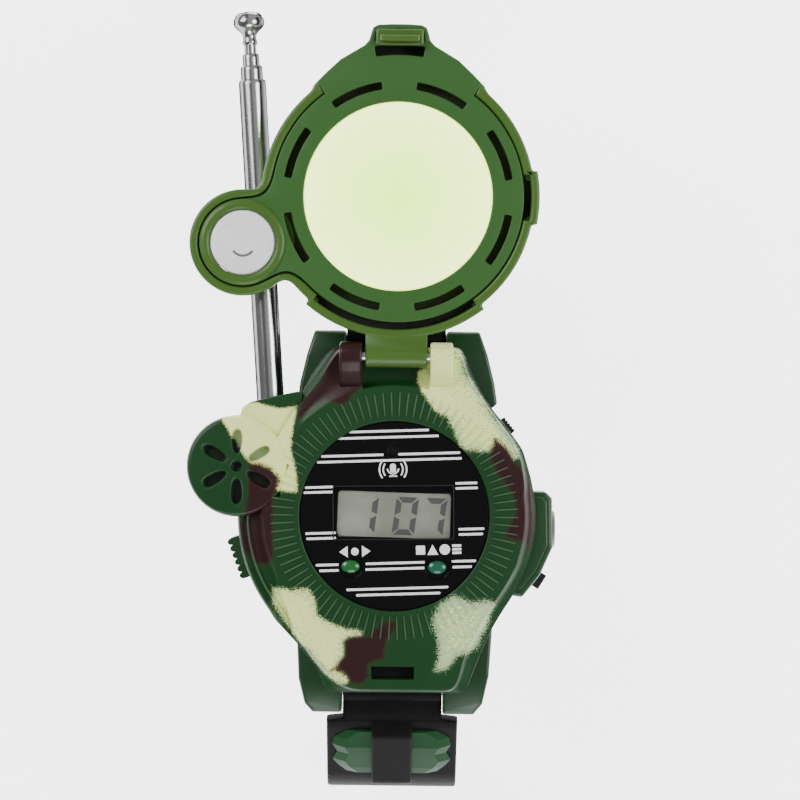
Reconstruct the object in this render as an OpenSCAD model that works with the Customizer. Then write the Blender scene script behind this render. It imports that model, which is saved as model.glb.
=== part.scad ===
// Toy walkie-talkie worn on the wrist: clock face under a flip-up lid, speaker, telescopic
// antenna, torch and a soft strap. +Z is the way the face looks, +Y is twelve o'clock, and
// z = 0 is the flat back of the case. The lid is drawn folded fully open.

/* [Case] */
// Radius of the round part of the case
case_r = 29.6; // [29:0.1:30]
// Height of the seam between the back and front shells
split_z = 9; // [8.8:0.1:9.2]
// Height of the ring round the dial
face_z = 17.5; // [17.3:0.1:17.6]
// Wall thickness of the shells
wall = 1.6; // [1.4:0.1:1.8]
// Radius of the dial
dial_r = 19.75; // [19.5:0.05:19.9]
// Radius of the speaker boss
boss_r = 10.7; // [10.4:0.1:11]

/* [Lid] */
// Distance of the hinge axis from the middle of the dial
hinge_y = 33.5; // [33.4:0.05:33.6]
// Height of the hinge axis
hinge_z = 18.6; // [18.5:0.05:18.7]
// Radius of the lid
lid_r = 28.6; // [28.2:0.1:28.7]
// Radius of the compass eye on the lid
eye_r = 11.1; // [10.8:0.1:11.3]
// Radius of the compass housing
compass_r = 6.8; // [6.4:0.1:6.9]

/* [Antenna] */
// Lean of the antenna to the left
antenna_lean = 3.97; // [3.5:0.01:4.2]
// Length of the main tube outside the case
antenna_out = 66.4; // [60:0.1:67]
// Radius of the main tube
antenna_r = 2.9; // [2.8:0.05:2.95]

/* [Strap] */
// Width of the strap
strap_w = 28; // [26:0.5:28]
// Width of the strap between the lugs and at its end
strap_end_w = 20.4; // [19:0.1:20.6]
// Thickness of the strap
strap_t = 2.6; // [2.2:0.1:2.8]
// Distance of the strap pins from the middle of the dial
lug_y = 37.8; // [37.7:0.05:37.9]
// Height of the strap pins
lug_z = 5; // [4.8:0.1:5.2]

/* [Hidden] */
$fn = 96;
eps = 0.01;
gap = 0.3;

roof_z = 14.2;
neck_z = 15.6;
boss_z = 17;
crown_floor = 14;
inner_z = 12.6;
shelf_z = 15.2;
shelf_r = 17.6;
dial_top = 16.4;
boss_at = [-33.2, 10.1];
wing_r = 33;
end_wall = 35;
lug_gap = 10.6;

lid_c = 2 * hinge_y;
lid_top = 19.2;
lid_low = 12.8;
lid_edge = 14.4;
liner_r = 26.35;
liner_z = 17.6;
eye_at = [-32.45, lid_c - 10];
barrel_r = 2.3;
barrel_half = 6.45;
ear_in = 7.15;
ear_out = 11.9;
hinge_pin_r = 1;
hook_y = 32.9;

antenna_at = [-26.7, 25.7, split_z];
tube_in = 8;
section_step = 0.55;
fit = 0.05;

ptt_turn = 200.5;
ptt_off = -2.8;
switch_turn = 39;
torch_x = 33.2;
torch_z = 8;
lens_y = -2.7;
torch_key_at = [30.4, -13.3];
torch_key_turn = -31.1;
keys_at = [[-9.1, -10.7], [9.1, -10.7]];
cell_r = 5.8;
cell_h = 5.4;
bay_y = -4;
bay_half = [18.7, 6.6];
screw_at = [[-15.4, 30.8], [14, 30.8], [-15.4, -31], [14.6, -31]];
sprung_pin_r = 0.75;

function polar(r, a) = [r * cos(a), r * sin(a)];
function sector(r, a0, a1, n = 16) =
    concat([[0, 0]], [for (i = [0:n]) polar(r, a0 + (a1 - a0) * i / n)]);

// The strap's run seen from the side, as stretches of [length, turn downwards in degrees].
function strap_run(drop, foot) =
    [[4, 0], [4, 32], [14, 0], [9, 50], [drop, 0], [30, 88], [foot, 0]];
steps = 8;
function stretch_steps(s) = s[1] == 0 ? [s] : [for (i = [1:steps]) [s[0] / steps, s[1] / steps]];
function small_steps(run) = [for (s = run) each stretch_steps(s)];
// Walks the small steps: each entry is [outward, height, heading, length so far].
function walk(st, i = 0, p = [0, 0], a = -10, d = 0) =
    i == len(st) ? [[p[0], p[1], a, d]]
    : let (h = a - st[i][1] / 2, q = p + st[i][0] * [cos(h), sin(h)])
      concat([[p[0], p[1], a, d]], walk(st, i + 1, q, a - st[i][1], d + st[i][0]));
lower_path = walk(small_steps(strap_run(4, 20)));
upper_path = walk(small_steps(strap_run(2.8, 15)));
lower_end = lower_path[len(lower_path) - 1];
upper_end = upper_path[len(upper_path) - 1];
foot_from = 65;
// Half width of the strap at a distance d along it.
function strap_half(d) = d < 6.5 ? strap_end_w / 2 : d < 8.5 ? strap_w / 2
    : d < 36 ? strap_w / 2 : max(strap_end_w / 2, strap_w / 2 - (d - 36) * 0.14);
function ring_at(p, hw, t0, t1) =
    let (n = [-sin(p[2]), cos(p[2])], o = [p[0], p[1]])
    [for (c = [[-hw, t0], [hw, t0], [hw, t1], [-hw, t1]])
        [c[0], o[0] + n[0] * c[1], o[1] + n[1] * c[1]]];

// A bar swept along path points, its half width at each point given by widths.
module swept_bar(path, widths, t0, t1) {
    n = len(path);
    pts = [for (i = [0:n - 1]) each ring_at(path[i], widths[i], t0, t1)];
    sides = [for (i = [0:n - 2], k = [0:3])
        [4 * i + k, 4 * i + (k + 1) % 4, 4 * i + 4 + (k + 1) % 4, 4 * i + 4 + k]];
    polyhedron(pts, concat([[3, 2, 1, 0]], sides, [[for (k = [0:3]) 4 * (n - 1) + k]]));
}

// A spring of round wire wound along +Z.
module coil(r, wire_r, h, turns) {
    per_turn = 14;
    sides = 6;
    n = per_turn * turns;
    pts = [for (i = [0:n], k = [0:sides - 1])
        let (a = 360 * i / per_turn, b = 360 * k / sides, q = r + wire_r * cos(b))
        [q * cos(a), q * sin(a), wire_r + (h - 2 * wire_r) * i / n + wire_r * sin(b)]];
    skin = [for (i = [0:n - 1], k = [0:sides - 1])
        [sides * i + k, sides * i + sides + k, sides * i + sides + (k + 1) % sides,
            sides * i + (k + 1) % sides]];
    polyhedron(pts, concat([[for (k = [0:sides - 1]) k]], skin,
        [[for (k = [sides - 1:-1:0]) sides * n + k]]));
}

// Puts a strap half, drawn outwards along +Y from its pin, on the twelve o'clock side.
module at_upper_lug() { translate([0, lug_y, lug_z]) children(); }
// The same on the six o'clock side.
module at_lower_lug() { translate([0, -lug_y, lug_z]) mirror([0, 1, 0]) children(); }
module along_x(r, half) { rotate([0, 90, 0]) cylinder(r = r, h = 2 * half, center = true); }
// A flat shape seen from the side, [y, z], given a width along X.
module side_plate(points, half) {
    rotate([90, 0, 90]) linear_extrude(2 * half, center = true) polygon(points);
}
module slab(z0, z1) { translate([0, 0, z0]) linear_extrude(z1 - z0) children(); }
module at_angle(a) { rotate([0, 0, a]) children(); }
module in_antenna() { translate(antenna_at) rotate([0, 0, antenna_lean]) children(); }
module rod_y(r, y0, y1) { translate([0, y0, 0]) rotate([-90, 0, 0]) cylinder(r = r, h = y1 - y0); }
module rod_x(r, x0, x1) { translate([x0, 0, 0]) rotate([0, 90, 0]) cylinder(r = r, h = x1 - x0); }

// ---- Case ------------------------------------------------------------------------------

module neck_outline() {
    polygon([[-24, 17], [-20.6, 23.8], [-17, 30.5], [-14, 35.2], [13.8, 35.4], [15.2, 30.6],
        [18.6, 24], [23.6, 18.2], [26.6, 13]]);
    polygon([[-26, -14], [-25.6, -21.6], [-20, -27.3], [-15.6, -32.6], [-13.9, -37], [14.6, -36.8],
        [16.5, -32.2], [20.8, -23.6], [26, -14.8]]);
}
module side_outline() {
    translate(boss_at) circle(boss_r);
    polygon([[-19.5, 26.5], [-30.6, 23.9], [-32.6, 22.6], [-33.2, 20.4], [-28, 8], [-15, 18]]);
    polygon(sector(wing_r, 170, 236));
}
module front_outline() {
    circle(case_r);
    neck_outline();
    side_outline();
}
module lug_outline() {
    polygon([[-21.2, 21], [-20.4, 28], [-19, 34], [-17.4, 39.1], [17.7, 39.1], [19.5, 34],
        [21, 28], [22, 21]]);
    polygon([[-21.8, -22], [-20.4, -27], [-19.9, -35], [-18.6, -40], [-17, -41.6], [17.2, -41.6],
        [19.1, -39.6], [20.4, -34], [21.2, -22]]);
}
module inner_outline() {
    intersection() {
        offset(delta = -wall) front_outline();
        square([90, 66.6], center = true);
    }
}
module screw_posts(r, z0, z1) {
    for (p = screw_at) translate([p[0], p[1], z0]) cylinder(r = r, h = z1 - z0, $fn = 48);
}
// The gaps in both shells for the talk key, the power knob and the torch.
module side_windows() {
    at_angle(ptt_turn) translate([28, ptt_off - 4.7, 4.7]) cube([8, 9.4, 7.6]);
    at_angle(switch_turn) translate([25, -2, 6.6]) cube([8, 6.5, 4.8]);
    translate([0, 0, 2.8]) linear_extrude(10.4) torch_outline(gap);
}
module antenna_bore() {
    in_antenna() rod_y(antenna_r + fit, -tube_in - 0.2, 6);
}
// The cross-section of the ring, from the dial shelf out to the rim.
module crown() {
    rotate_extrude() polygon([[shelf_r, crown_floor], [shelf_r, shelf_z], [20.05, shelf_z],
        [20.05, face_z - 0.5], [20.5, face_z], [26.6, face_z - 0.6], [27.1, face_z - 1],
        [27.5, face_z - 1], [28, face_z - 0.8], [28.6, face_z - 1.2], [29.3, 15], [case_r, 13.6],
        [case_r, 12.4], [case_r - wall, 12.4], [case_r - wall, crown_floor]]);
}
module hinge_ear(side) {
    mid = side * (ear_in + ear_out) / 2;
    translate([mid, 0, 0]) side_plate([[27.4, 14], [27.4, 16.6], [29.2, 17.5], [31.3, 20.3],
        [32, 20.9], [35, 20.9], [36.5, 19.4], [36.5, 14]], (ear_out - ear_in) / 2);
}
module petal_holes(z0, z1) {
    translate([boss_at[0], boss_at[1], z0]) {
        cylinder(r = 1.05, h = z1 - z0, $fn = 32);
        for (a = [30:60:330]) at_angle(a) translate([5.25, 0, 0]) {
            translate([-1.55, -1.07, 0]) cube([3.1, 2.14, z1 - z0]);
            for (e = [-1.55, 1.55]) translate([e, 0, 0]) cylinder(r = 1.07, h = z1 - z0, $fn = 24);
        }
    }
}
module front_shell() {
    color("darkolivegreen")
    difference() {
        union() {
            difference() {
                union() {
                    slab(split_z + 0.05, roof_z) front_outline();
                    slab(roof_z - eps, neck_z) neck_outline();
                    slab(roof_z - eps, boss_z) translate(boss_at) circle(boss_r - 0.3);
                    crown();
                }
                slab(split_z - 1, inner_z) inner_outline();
                translate([0, 0, split_z - 1]) cylinder(r = case_r - wall, h = crown_floor - split_z + 1);
                translate([boss_at[0], boss_at[1], split_z - 1]) cylinder(r = 9.2, h = 7.4);
                translate([0, 0, 12]) cylinder(r = shelf_r, h = 6);
                translate([0, 0, shelf_z]) cylinder(r = 20.05, h = 6);
            }
            hinge_ear(-1);
            hinge_ear(1);
            screw_posts(2.4, split_z + 0.05, inner_z + 0.6);
        }
        petal_holes(15, 18);
        translate([-4.5, -34.1, inner_z + 0.2]) cube([9, 2.5, 5]);
        translate([0, hinge_y, hinge_z]) along_x(hinge_pin_r, ear_out + 1);
        screw_posts(1.1, split_z - 1, 12);
        side_windows();
        antenna_bore();
    }
}
module back_shell() {
    color("darkgreen")
    difference() {
        union() {
            difference() {
                union() {
                    cylinder(r1 = case_r - 2, r2 = case_r, h = 2);
                    slab(2, split_z) {
                        circle(case_r);
                        side_outline();
                    }
                    intersection() {
                        slab(1, split_z) lug_outline();
                        side_plate([[-42, 3], [-41.6, 7], [-38, 8.6], [-34, split_z], [34, split_z],
                            [37, 8.6], [39.2, 7], [39.2, 3], [37.4, 1], [-40, 1]], 25);
                    }
                }
                slab(2 + wall, split_z + 1) inner_outline();
                translate([0, 0, wall + 0.2]) cylinder(r = case_r - wall, h = split_z);
                for (s = [-1, 1]) translate([-lug_gap, s > 0 ? end_wall : -end_wall - 9, -1])
                    cube([2 * lug_gap, 9, 12]);
            }
            screw_posts(2.8, 1, split_z);
            bay_frame();
        }
        door_seat();
        screw_posts(1.2, -1, split_z + 1);
        screw_posts(2.3, -1, 3.4);
        for (s = [-1, 1]) translate([0, s * lug_y, lug_z]) along_x(sprung_pin_r, 15);
        side_windows();
        antenna_bore();
    }
}
module bay_frame() {
    difference() {
        translate([-bay_half[0] - 1, bay_y - bay_half[1] - 1, 1]) cube([39.4, 15.2, 5.2]);
        translate([-bay_half[0], bay_y - bay_half[1], 0]) cube([37.4, 13.2, 8]);
    }
    translate([22, bay_y, 1]) cylinder(r = 2.6, h = 5.2, $fn = 48);
}
// The opening under the battery door, with the rebate that the door lies in.
module door_seat() {
    translate([-bay_half[0], bay_y - bay_half[1], -1]) cube([37.4, 13.2, 8]);
    translate([-20.5, bay_y - 8.2, -1]) cube([45.6, 16.4, 2.3]);
    translate([22, bay_y, 0]) cylinder(r = 0.95, h = 5.4, $fn = 48);
}
module battery_door() {
    color("darkgreen")
    difference() {
        union() {
            translate([-20.3, bay_y - 8, 0]) cube([45.2, 16, 1.2]);
            for (y = [-6.45, 5.9]) translate([-18.4, bay_y + y, 1]) cube([36.8, 0.55, 0.9]);
        }
        translate([22, bay_y, -1]) cylinder(r = 0.95, h = 3, $fn = 48);
        translate([22, bay_y, -1]) cylinder(r = 1.9, h = 1.7, $fn = 48);
        for (i = [0:4]) translate([-17 + 1.6 * i, bay_y - 5, -eps]) cube([0.7, 10, 0.35]);
    }
}
// A pan-head screw along Z with its head down and a crossed slot.
module pan_screw(head_r, head_h, r, h) {
    difference() {
        union() {
            cylinder(r = head_r, h = head_h, $fn = 48);
            cylinder(r = r, h = h, $fn = 48);
        }
        for (a = [0, 90]) at_angle(a) translate([-head_r * 0.6, -0.2, -1])
            cube([head_r * 1.2, 0.4, 1.5]);
    }
}
module door_screw() {
    color("silver") translate([22, bay_y, 0.1]) pan_screw(1.8, 0.55, 0.9, 5);
}
module case_screws() {
    color("silver") for (p = screw_at) translate([p[0], p[1], 2.2]) pan_screw(2.2, 1.15, 1.05, 9.4);
}

// ---- Power and electronics ---------------------------------------------------------------

module radio_cells() {
    color("silver") for (i = [-1:1]) translate([i * 12.3, bay_y, 1.25]) {
        cylinder(r = cell_r, h = cell_h - 0.5);
        cylinder(r = cell_r - 0.8, h = cell_h);
    }
}
module contact_plates() {
    color("gold") {
        translate([-17.6, bay_y - 2, 6.7]) cube([17, 4, 0.35]);
        translate([6.6, bay_y - 2, 6.7]) cube([11, 4, 0.35]);
    }
}
module main_board() {
    color("seagreen")
    difference() {
        translate([0, 0, 7.2]) cylinder(r = 26.4, h = 1);
        in_antenna() translate([-5, -12, -4]) cube([10, 12, 8]);
        at_angle(ptt_turn) translate([23, -8.4, 5]) cube([8, 11, 6]);
        at_angle(switch_turn) translate([23.6, -5, 5]) cube([8, 10, 6]);
        translate([23.4, -20, 5]) cube([8, 26, 6]);
    }
}
module speaker_frame() {
    color("silver") translate([boss_at[0], boss_at[1], 0]) {
        translate([0, 0, 4.2]) cylinder(r = 5, h = 3.4);
        rotate_extrude() polygon([[0, 7.6], [5, 7.6], [8.9, 11.2], [8.9, 13.4], [8.1, 13.4],
            [8.1, 11.6], [4.6, 8.4], [0, 8.4]]);
    }
}
module speaker_cone() {
    color("black") translate([boss_at[0], boss_at[1], 0]) rotate_extrude()
        polygon([[0, 12.9], [2.4, 12.9], [3, 12.2], [7, 13.4], [8.6, 13.4], [8.6, 14], [7, 14],
            [3, 12.8], [2.4, 13.5], [0, 13.8]]);
}
module microphone() {
    color("silver") translate([-0.3, 14, 12.6]) cylinder(r = 2, h = 2.5, $fn = 48);
}
module dial_plate() {
    color("black")
    difference() {
        union() {
            translate([0, 0, shelf_z]) cylinder(r = dial_r, h = dial_top - shelf_z);
            translate([-12.7, -4.75, dial_top - eps]) cube([25.4, 11.1, 0.3]);
        }
        translate([-11.8, -4.5, shelf_z - 1]) cube([23.6, 9.4, 4]);
        translate([-0.3, 14, shelf_z - 1]) cylinder(r = 1.1, h = 4, $fn = 48);
        translate([-0.3, 14, dial_top - 0.3]) cylinder(r = 1.6, h = 1, $fn = 48);
        for (k = keys_at) translate([k[0], k[1], shelf_z - 1]) cylinder(r = 2.4, h = 4, $fn = 48);
    }
}
module lcd_window() {
    color("lightgray", 0.4) translate([-11.75, -4.45, 15.5]) cube([23.5, 9.3, 0.8]);
}
module lcd_panel() {
    color("darkseagreen") translate([-12.6, -5.6, 13.4]) cube([25.2, 11.6, 1.7]);
}
module zebra_strip() {
    color("hotpink") translate([-11, -5.2, 12.45]) cube([22, 1.6, 0.9]);
}
module clock_board() {
    color("seagreen") translate([-15, -6.2, 11.4]) cube([30, 14, 1]);
    color("seagreen") translate([-12.5, -13, 11.4]) cube([25, 6.9, 1]);
}
module clock_cell() {
    color("silver") translate([0, 1, 8.25]) cylinder(r = cell_r, h = 3.05);
}
module key_pad() {
    color("dimgray") translate([-12, -12.8, 12.42]) cube([24, 4.4, 0.8]);
}
module face_key(at, shade) {
    color(shade) translate([at[0], at[1], 0]) {
        translate([0, 0, 14.4]) cylinder(r = 3, h = 0.75, $fn = 48);
        translate([0, 0, 13.9]) cylinder(r = 2.1, h = 2.5, $fn = 48);
        translate([0, 0, 16.4]) cylinder(r1 = 2.1, r2 = 1.3, h = 0.5, $fn = 48);
    }
}
module set_button() { face_key(keys_at[0], "forestgreen"); }
module mode_button() { face_key(keys_at[1], "seagreen"); }

// ---- Talk key, power knob and torch --------------------------------------------------------

module ptt_button() {
    color("green") at_angle(ptt_turn) translate([0, ptt_off, 0]) {
        difference() {
            union() {
                translate([30, -4.4, 5]) cube([4.6, 8.8, 7]);
                for (i = [-3:3]) translate([34.5, i * 1.25 - 0.35, 5]) cube([1, 0.7, 7]);
                translate([29.2, -5.2, 4.2]) cube([1, 10.4, 8.3]);
            }
            translate([28, -3.4, 6]) cube([4.6, 6.8, 5]);
        }
    }
}
module ptt_spring() {
    color("silver") at_angle(ptt_turn) translate([26.7, ptt_off, 8.5]) rotate([0, 90, 0])
        coil(1.6, 0.22, 4.2, 5);
}
module ptt_switch() {
    color("dimgray") at_angle(ptt_turn) translate([0, ptt_off, 8.5]) {
        translate([23.4, -3, -3.5]) cube([3.2, 6, 6]);
        rod_x(0.6, 26.5, 29.6);
    }
}
module power_slider() {
    color("black") at_angle(switch_turn) {
        translate([27.2, -1.6, 7.2]) cube([2.9, 3.2, 3.6]);
        for (i = [-2:2]) translate([30, i * 0.66 - 0.2, 7.2]) cube([0.7, 0.4, 3.6]);
    }
}
module slide_switch() {
    color("dimgray") at_angle(switch_turn) translate([24, -4.2, 6.4]) cube([2.9, 8.4, 5.2]);
}
module torch_outline(grow) {
    polygon([[26 - grow, 5.5 + grow], [31.8, 5.4 + grow], [33.2 + grow, 4], [33.4 + grow, -6.4],
        [30.9 + grow, -12.2], [27.2 + grow / 2, -17 - grow], [24.6 - grow, -16.4 - grow],
        [24 - grow, -13]]);
}
module torch_inner() {
    polygon([[23, 4.2], [31.2, 4.1], [31.9, 3.4], [32, -6.2], [29.6, -11.6], [26.8, -15.4],
        [23, -15]]);
}
module torch_housing() {
    color("darkgreen")
    difference() {
        translate([0, 0, 3.1]) linear_extrude(9.8) torch_outline(0);
        translate([0, 0, 4.3]) linear_extrude(7.4) torch_inner();
        translate([0, lens_y, torch_z]) rod_x(3.35, 31, 36);
        translate([torch_key_at[0], torch_key_at[1], 0]) at_angle(torch_key_turn)
            translate([-4, -1.95, 5.9]) cube([8, 3.9, 4.2]);
    }
}
module torch_lens() {
    color("white", 0.5) translate([0, lens_y, torch_z]) {
        rod_x(3.3, 31.6, 33.5);
        translate([33.5, 0, 0]) rotate([0, 90, 0]) cylinder(r1 = 3.3, r2 = 2, h = 0.6);
    }
}
module torch_led() {
    color("ivory") translate([0, lens_y, torch_z]) {
        rod_x(2.5, 25.6, 31.3);
        rod_x(2.9, 24.6, 25.7);
    }
}
module torch_button() {
    color("dimgray") translate([torch_key_at[0], torch_key_at[1], 0]) at_angle(torch_key_turn) {
        translate([-2, -1.7, 6.2]) cube([3.3, 3.4, 3.6]);
        translate([-2.6, -2.4, 5.4]) cube([0.7, 4.8, 5.2]);
    }
}
module torch_switch() {
    color("dimgray") translate([torch_key_at[0], torch_key_at[1], 0]) at_angle(torch_key_turn)
        translate([-5.4, -1.6, 6.4]) cube([2, 3.2, 3.2]);
}

// ---- Antenna ---------------------------------------------------------------------------------

module tube_y(r, bore, y0, y1) {
    difference() {
        rod_y(r, y0, y1);
        rod_y(bore, y0 - 1, y1 + 1);
    }
}
section_r = [antenna_r, antenna_r - section_step, antenna_r - 2 * section_step,
    antenna_r - 3 * section_step];
module antenna_tube() {
    color("silver") in_antenna() {
        tube_y(section_r[0], section_r[1] + fit, -tube_in + 0.8, antenna_out);
        rod_y(section_r[0], -tube_in, -tube_in + 0.8);
    }
}
module antenna_section_2() {
    color("silver") in_antenna() tube_y(section_r[1], section_r[2] + fit, -6, antenna_out + 3);
}
module antenna_section_3() {
    color("silver") in_antenna() tube_y(section_r[2], section_r[3] + fit, -5.6, antenna_out + 5.6);
}
module antenna_rod() {
    color("silver") in_antenna() {
        rod_y(section_r[3], -5.2, antenna_out + 7.8);
        rod_y(2.1, antenna_out + 7.7, antenna_out + 9.8);
        translate([0, antenna_out + 9.7, 0]) rotate([-90, 0, 0]) rotate_extrude()
            polygon([[0, 0], [2.1, 0], [3.1, 1.2], [3.1, 3.8], [2.6, 4.6], [0, 4.8]]);
    }
}
module antenna_clamp() {
    color("goldenrod") in_antenna() difference() {
        translate([-0.8, -10.4, -3]) cube([4.6, 2.35, 4.2]);
        translate([0.2, -9.8, -4]) cube([2.6, 3, 6.4]);
    }
}

// ---- Lid ---------------------------------------------------------------------------------------

module lid_tab() {
    side = [polar(27, 48), polar(lid_r + 0.6, 52), polar(29.8, 59), polar(31, 67), polar(32.2, 76),
        [7, 32.2], [6.2, 35.4], [5, 36.2]];
    n = len(side);
    polygon(concat(side, [for (i = [n - 1:-1:0]) [-side[i][0], side[i][1]]]));
}
module lid_outline() {
    translate([0, lid_c]) {
        circle(lid_r);
        polygon(sector(29.7, -11, 11));
        polygon(sector(29.7, 230, 308));
        lid_tab();
        polygon([polar(lid_r - 0.2, 172), [-36, -1.8], [-38, -17.6], polar(lid_r - 0.2, 222)]);
    }
    translate(eye_at) circle(eye_r);
}
// The part of the liner that runs out to the tab between the two notches.
module liner_reach() {
    intersection() {
        translate([0, lid_c]) polygon(sector(40, 55, 125));
        translate([0, lid_c]) union() {
            circle(lid_r);
            lid_tab();
        }
    }
}
module hook() {
    translate([0, lid_c + hook_y, 0]) side_plate([[-0.7, lid_top - 1], [-0.7, 22], [-1.1, 22.3],
        [-0.9, 22.9], [0.5, 22.6], [0.7, lid_top - 1]], 3.9);
}
module lid_shell() {
    color("olivedrab")
    difference() {
        union() {
            slab(lid_edge, lid_top - 0.6) lid_outline();
            slab(lid_top - 0.7, lid_top) difference() {
                lid_outline();
                translate(eye_at) circle(9.1 + 0.05);
            }
            translate([0, lid_c, lid_low]) cylinder(r1 = lid_r - 2, r2 = lid_r, h = lid_edge - lid_low);
            translate([eye_at[0], eye_at[1], lid_edge - 0.8]) cylinder(r1 = eye_r - 0.8, r2 = eye_r, h = 0.8);
            translate([eye_at[0], eye_at[1], lid_edge]) cylinder(r = 9.1, h = lid_top - lid_edge);
            translate([0, hinge_y, hinge_z]) along_x(barrel_r, barrel_half);
            side_plate([[hinge_y + 1, 16.9], [hinge_y, 20.6], [hinge_y + 3.4, lid_top],
                [39.5, lid_top], [39.5, 16.4], [hinge_y + 3, 16.4]], barrel_half);
        }
        translate([0, lid_c, lid_edge]) cylinder(r = 26.6, h = 10);
        slab(liner_z - 0.05, 24) liner_reach();
        translate([0, lid_c, lid_low - 1]) cylinder(r = 15.2, h = 1.7);
        translate([eye_at[0], eye_at[1], 10]) cylinder(r = compass_r + fit, h = 12);
        translate([0, hinge_y, hinge_z]) along_x(hinge_pin_r + fit, barrel_half + 1);
        for (a = [[-11, 11], [230, 308]]) translate([0, lid_c, lid_edge + 1.4])
            rotate([0, 0, a[0]]) rotate_extrude(angle = a[1] - a[0])
                translate([26.5, 0]) square([1.5, 6]);
    }
}
module lid_liner() {
    color("olivedrab")
    difference() {
        union() {
            translate([0, lid_c, liner_z]) cylinder(r = liner_r, h = lid_top - liner_z);
            slab(liner_z, lid_top) liner_reach();
            hook();
        }
        translate([0, lid_c, liner_z + 0.6]) cylinder(r = dial_r + 0.1, h = 5);
        for (k = [0:7]) translate([0, lid_c, liner_z - 1]) rotate([0, 0, 9 + 45 * k])
            rotate_extrude(angle = 27) translate([22.6, 0]) square([1.6, 6]);
        translate([-5.1, lid_c + 29.6, liner_z - 1]) cube([10.2, 2, 6]);
    }
}
module glow_disc() {
    color("lightyellow") translate([0, lid_c, liner_z + 0.6]) cylinder(r = dial_r, h = 0.8);
}
module signal_mirror() {
    color("lightsteelblue") translate([0, lid_c, lid_low + 0.02]) cylinder(r = 15.1, h = 0.66);
}
module compass_case() {
    color("silver") translate([eye_at[0], eye_at[1], 0]) difference() {
        translate([0, 0, 13.8]) cylinder(r = compass_r, h = lid_top - 0.3 - 13.8);
        translate([0, 0, 12]) cylinder(r = compass_r - 0.6, h = 6.3);
    }
}
module compass_dial() {
    color("white") translate([eye_at[0], eye_at[1], 17.85]) cylinder(r = compass_r - 0.7, h = 0.4);
}
module compass_pivot() {
    color("goldenrod") translate([eye_at[0], eye_at[1], 15.3]) cylinder(r = 0.3, h = 2.5, $fn = 24);
}
module compass_needle() {
    color("crimson") translate([eye_at[0], eye_at[1], 16.2]) difference() {
        union() {
            linear_extrude(0.3) polygon([[0, 5], [1, 0], [0, -5], [-1, 0]]);
            cylinder(r = 1, h = 0.6, $fn = 32);
        }
        translate([0, 0, -1]) cylinder(r = 0.35, h = 3, $fn = 24);
    }
}
module compass_crystal() {
    color("aliceblue", 0.4) translate([eye_at[0], eye_at[1], 14.1]) cylinder(r = compass_r - 0.65, h = 0.9);
}
module hinge_pin() {
    color("silver") translate([0, hinge_y, hinge_z]) along_x(hinge_pin_r, ear_out - 0.3);
}

// ---- Strap -----------------------------------------------------------------------------------------

module strap_body(path) {
    swept_bar(path, [for (p = path) strap_half(p[3])], -strap_t / 2, strap_t / 2);
}
// The raised band that holds the link plate down on the strap.
module link_band(path) {
    run = [for (p = path) if (p[3] > 5.9 && p[3] < 26.9) p];
    swept_bar(run, [for (p = run) 4.3], strap_t / 2 + 1.45, strap_t / 2 + 2.5);
    swept_bar([for (p = run) if (p[3] < 8.1) p], [for (p = run) if (p[3] < 8.1) 4.3], 0, 3.8);
    swept_bar([for (p = run) if (p[3] > 21.9) p], [for (p = run) if (p[3] > 21.9) 4.3], 0, 3.8);
}
module strap_half_body(path) {
    difference() {
        union() {
            along_x(2.3, strap_end_w / 2);
            difference() {
                strap_body(path);
                along_x(2, strap_w);
            }
            link_band(path);
        }
        along_x(sprung_pin_r + fit, strap_w);
    }
}
// Children placed on the strap at each of the path points picked out by distance.
module on_path(p) { translate([0, p[0], p[1]]) rotate([p[2], 0, 0]) children(); }
module strap_lower() {
    color("dimgray") at_lower_lug() difference() {
        union() {
            strap_half_body(lower_path);
            on_path(lower_end) cylinder(r = strap_end_w / 2, h = strap_t, center = true);
        }
        for (i = [0:3]) on_path(lower_end) translate([0, -4 - 5 * i, 0])
            cylinder(r = 1.2, h = 6, center = true, $fn = 32);
    }
}
module strap_upper() {
    color("dimgray") at_upper_lug() difference() {
        union() {
            strap_half_body(upper_path);
            on_path(upper_end) along_x(2, strap_end_w / 2);
        }
        on_path(upper_end) along_x(0.9 + fit, strap_w);
        on_path(upper_end) translate([-1.4, -3, -4]) cube([2.8, 8, 8]);
    }
}
module link_plate() {
    translate([0, 0, strap_t / 2]) difference() {
        linear_extrude(1.4) polygon([[-12.7, 1.6], [-11, 0.2], [11, 0.2], [12.7, 1.6], [12.7, 4.6],
            [11.4, 5.4], [11.4, 8], [12.7, 8.8], [12.7, 12], [11, 13.4], [-11, 13.4], [-12.7, 12],
            [-12.7, 8.8], [-11.4, 8], [-11.4, 5.4], [-12.7, 4.6]]);
        for (y = [3.2, 10]) translate([-14, y, 1.1]) cube([28, 0.6, 1]);
    }
}
plate_from = [for (p = lower_path) if (p[3] > 7.99 && p[3] < 8.01) p][0];
module lower_link_plate() {
    color("green") at_lower_lug() on_path(plate_from) link_plate();
}
module upper_link_plate() {
    color("green") at_upper_lug() on_path(plate_from) link_plate();
}
module lug_pin(side) {
    color("silver") translate([0, side * lug_y, lug_z]) {
        along_x(sprung_pin_r, 13.8);
    }
}
module lower_lug_pin() { lug_pin(-1); }
module upper_lug_pin() { lug_pin(1); }
module at_buckle() { at_upper_lug() translate([0, upper_end[0], upper_end[1]]) children(); }
module strap_keeper() {
    color("dimgray") at_buckle() translate([0, 11, 0]) difference() {
        translate([-11.9, -2.5, -2.5]) cube([23.8, 5, 7.9]);
        translate([-10.7, -4, -1.6]) cube([21.4, 8, 5.8]);
    }
}
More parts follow.
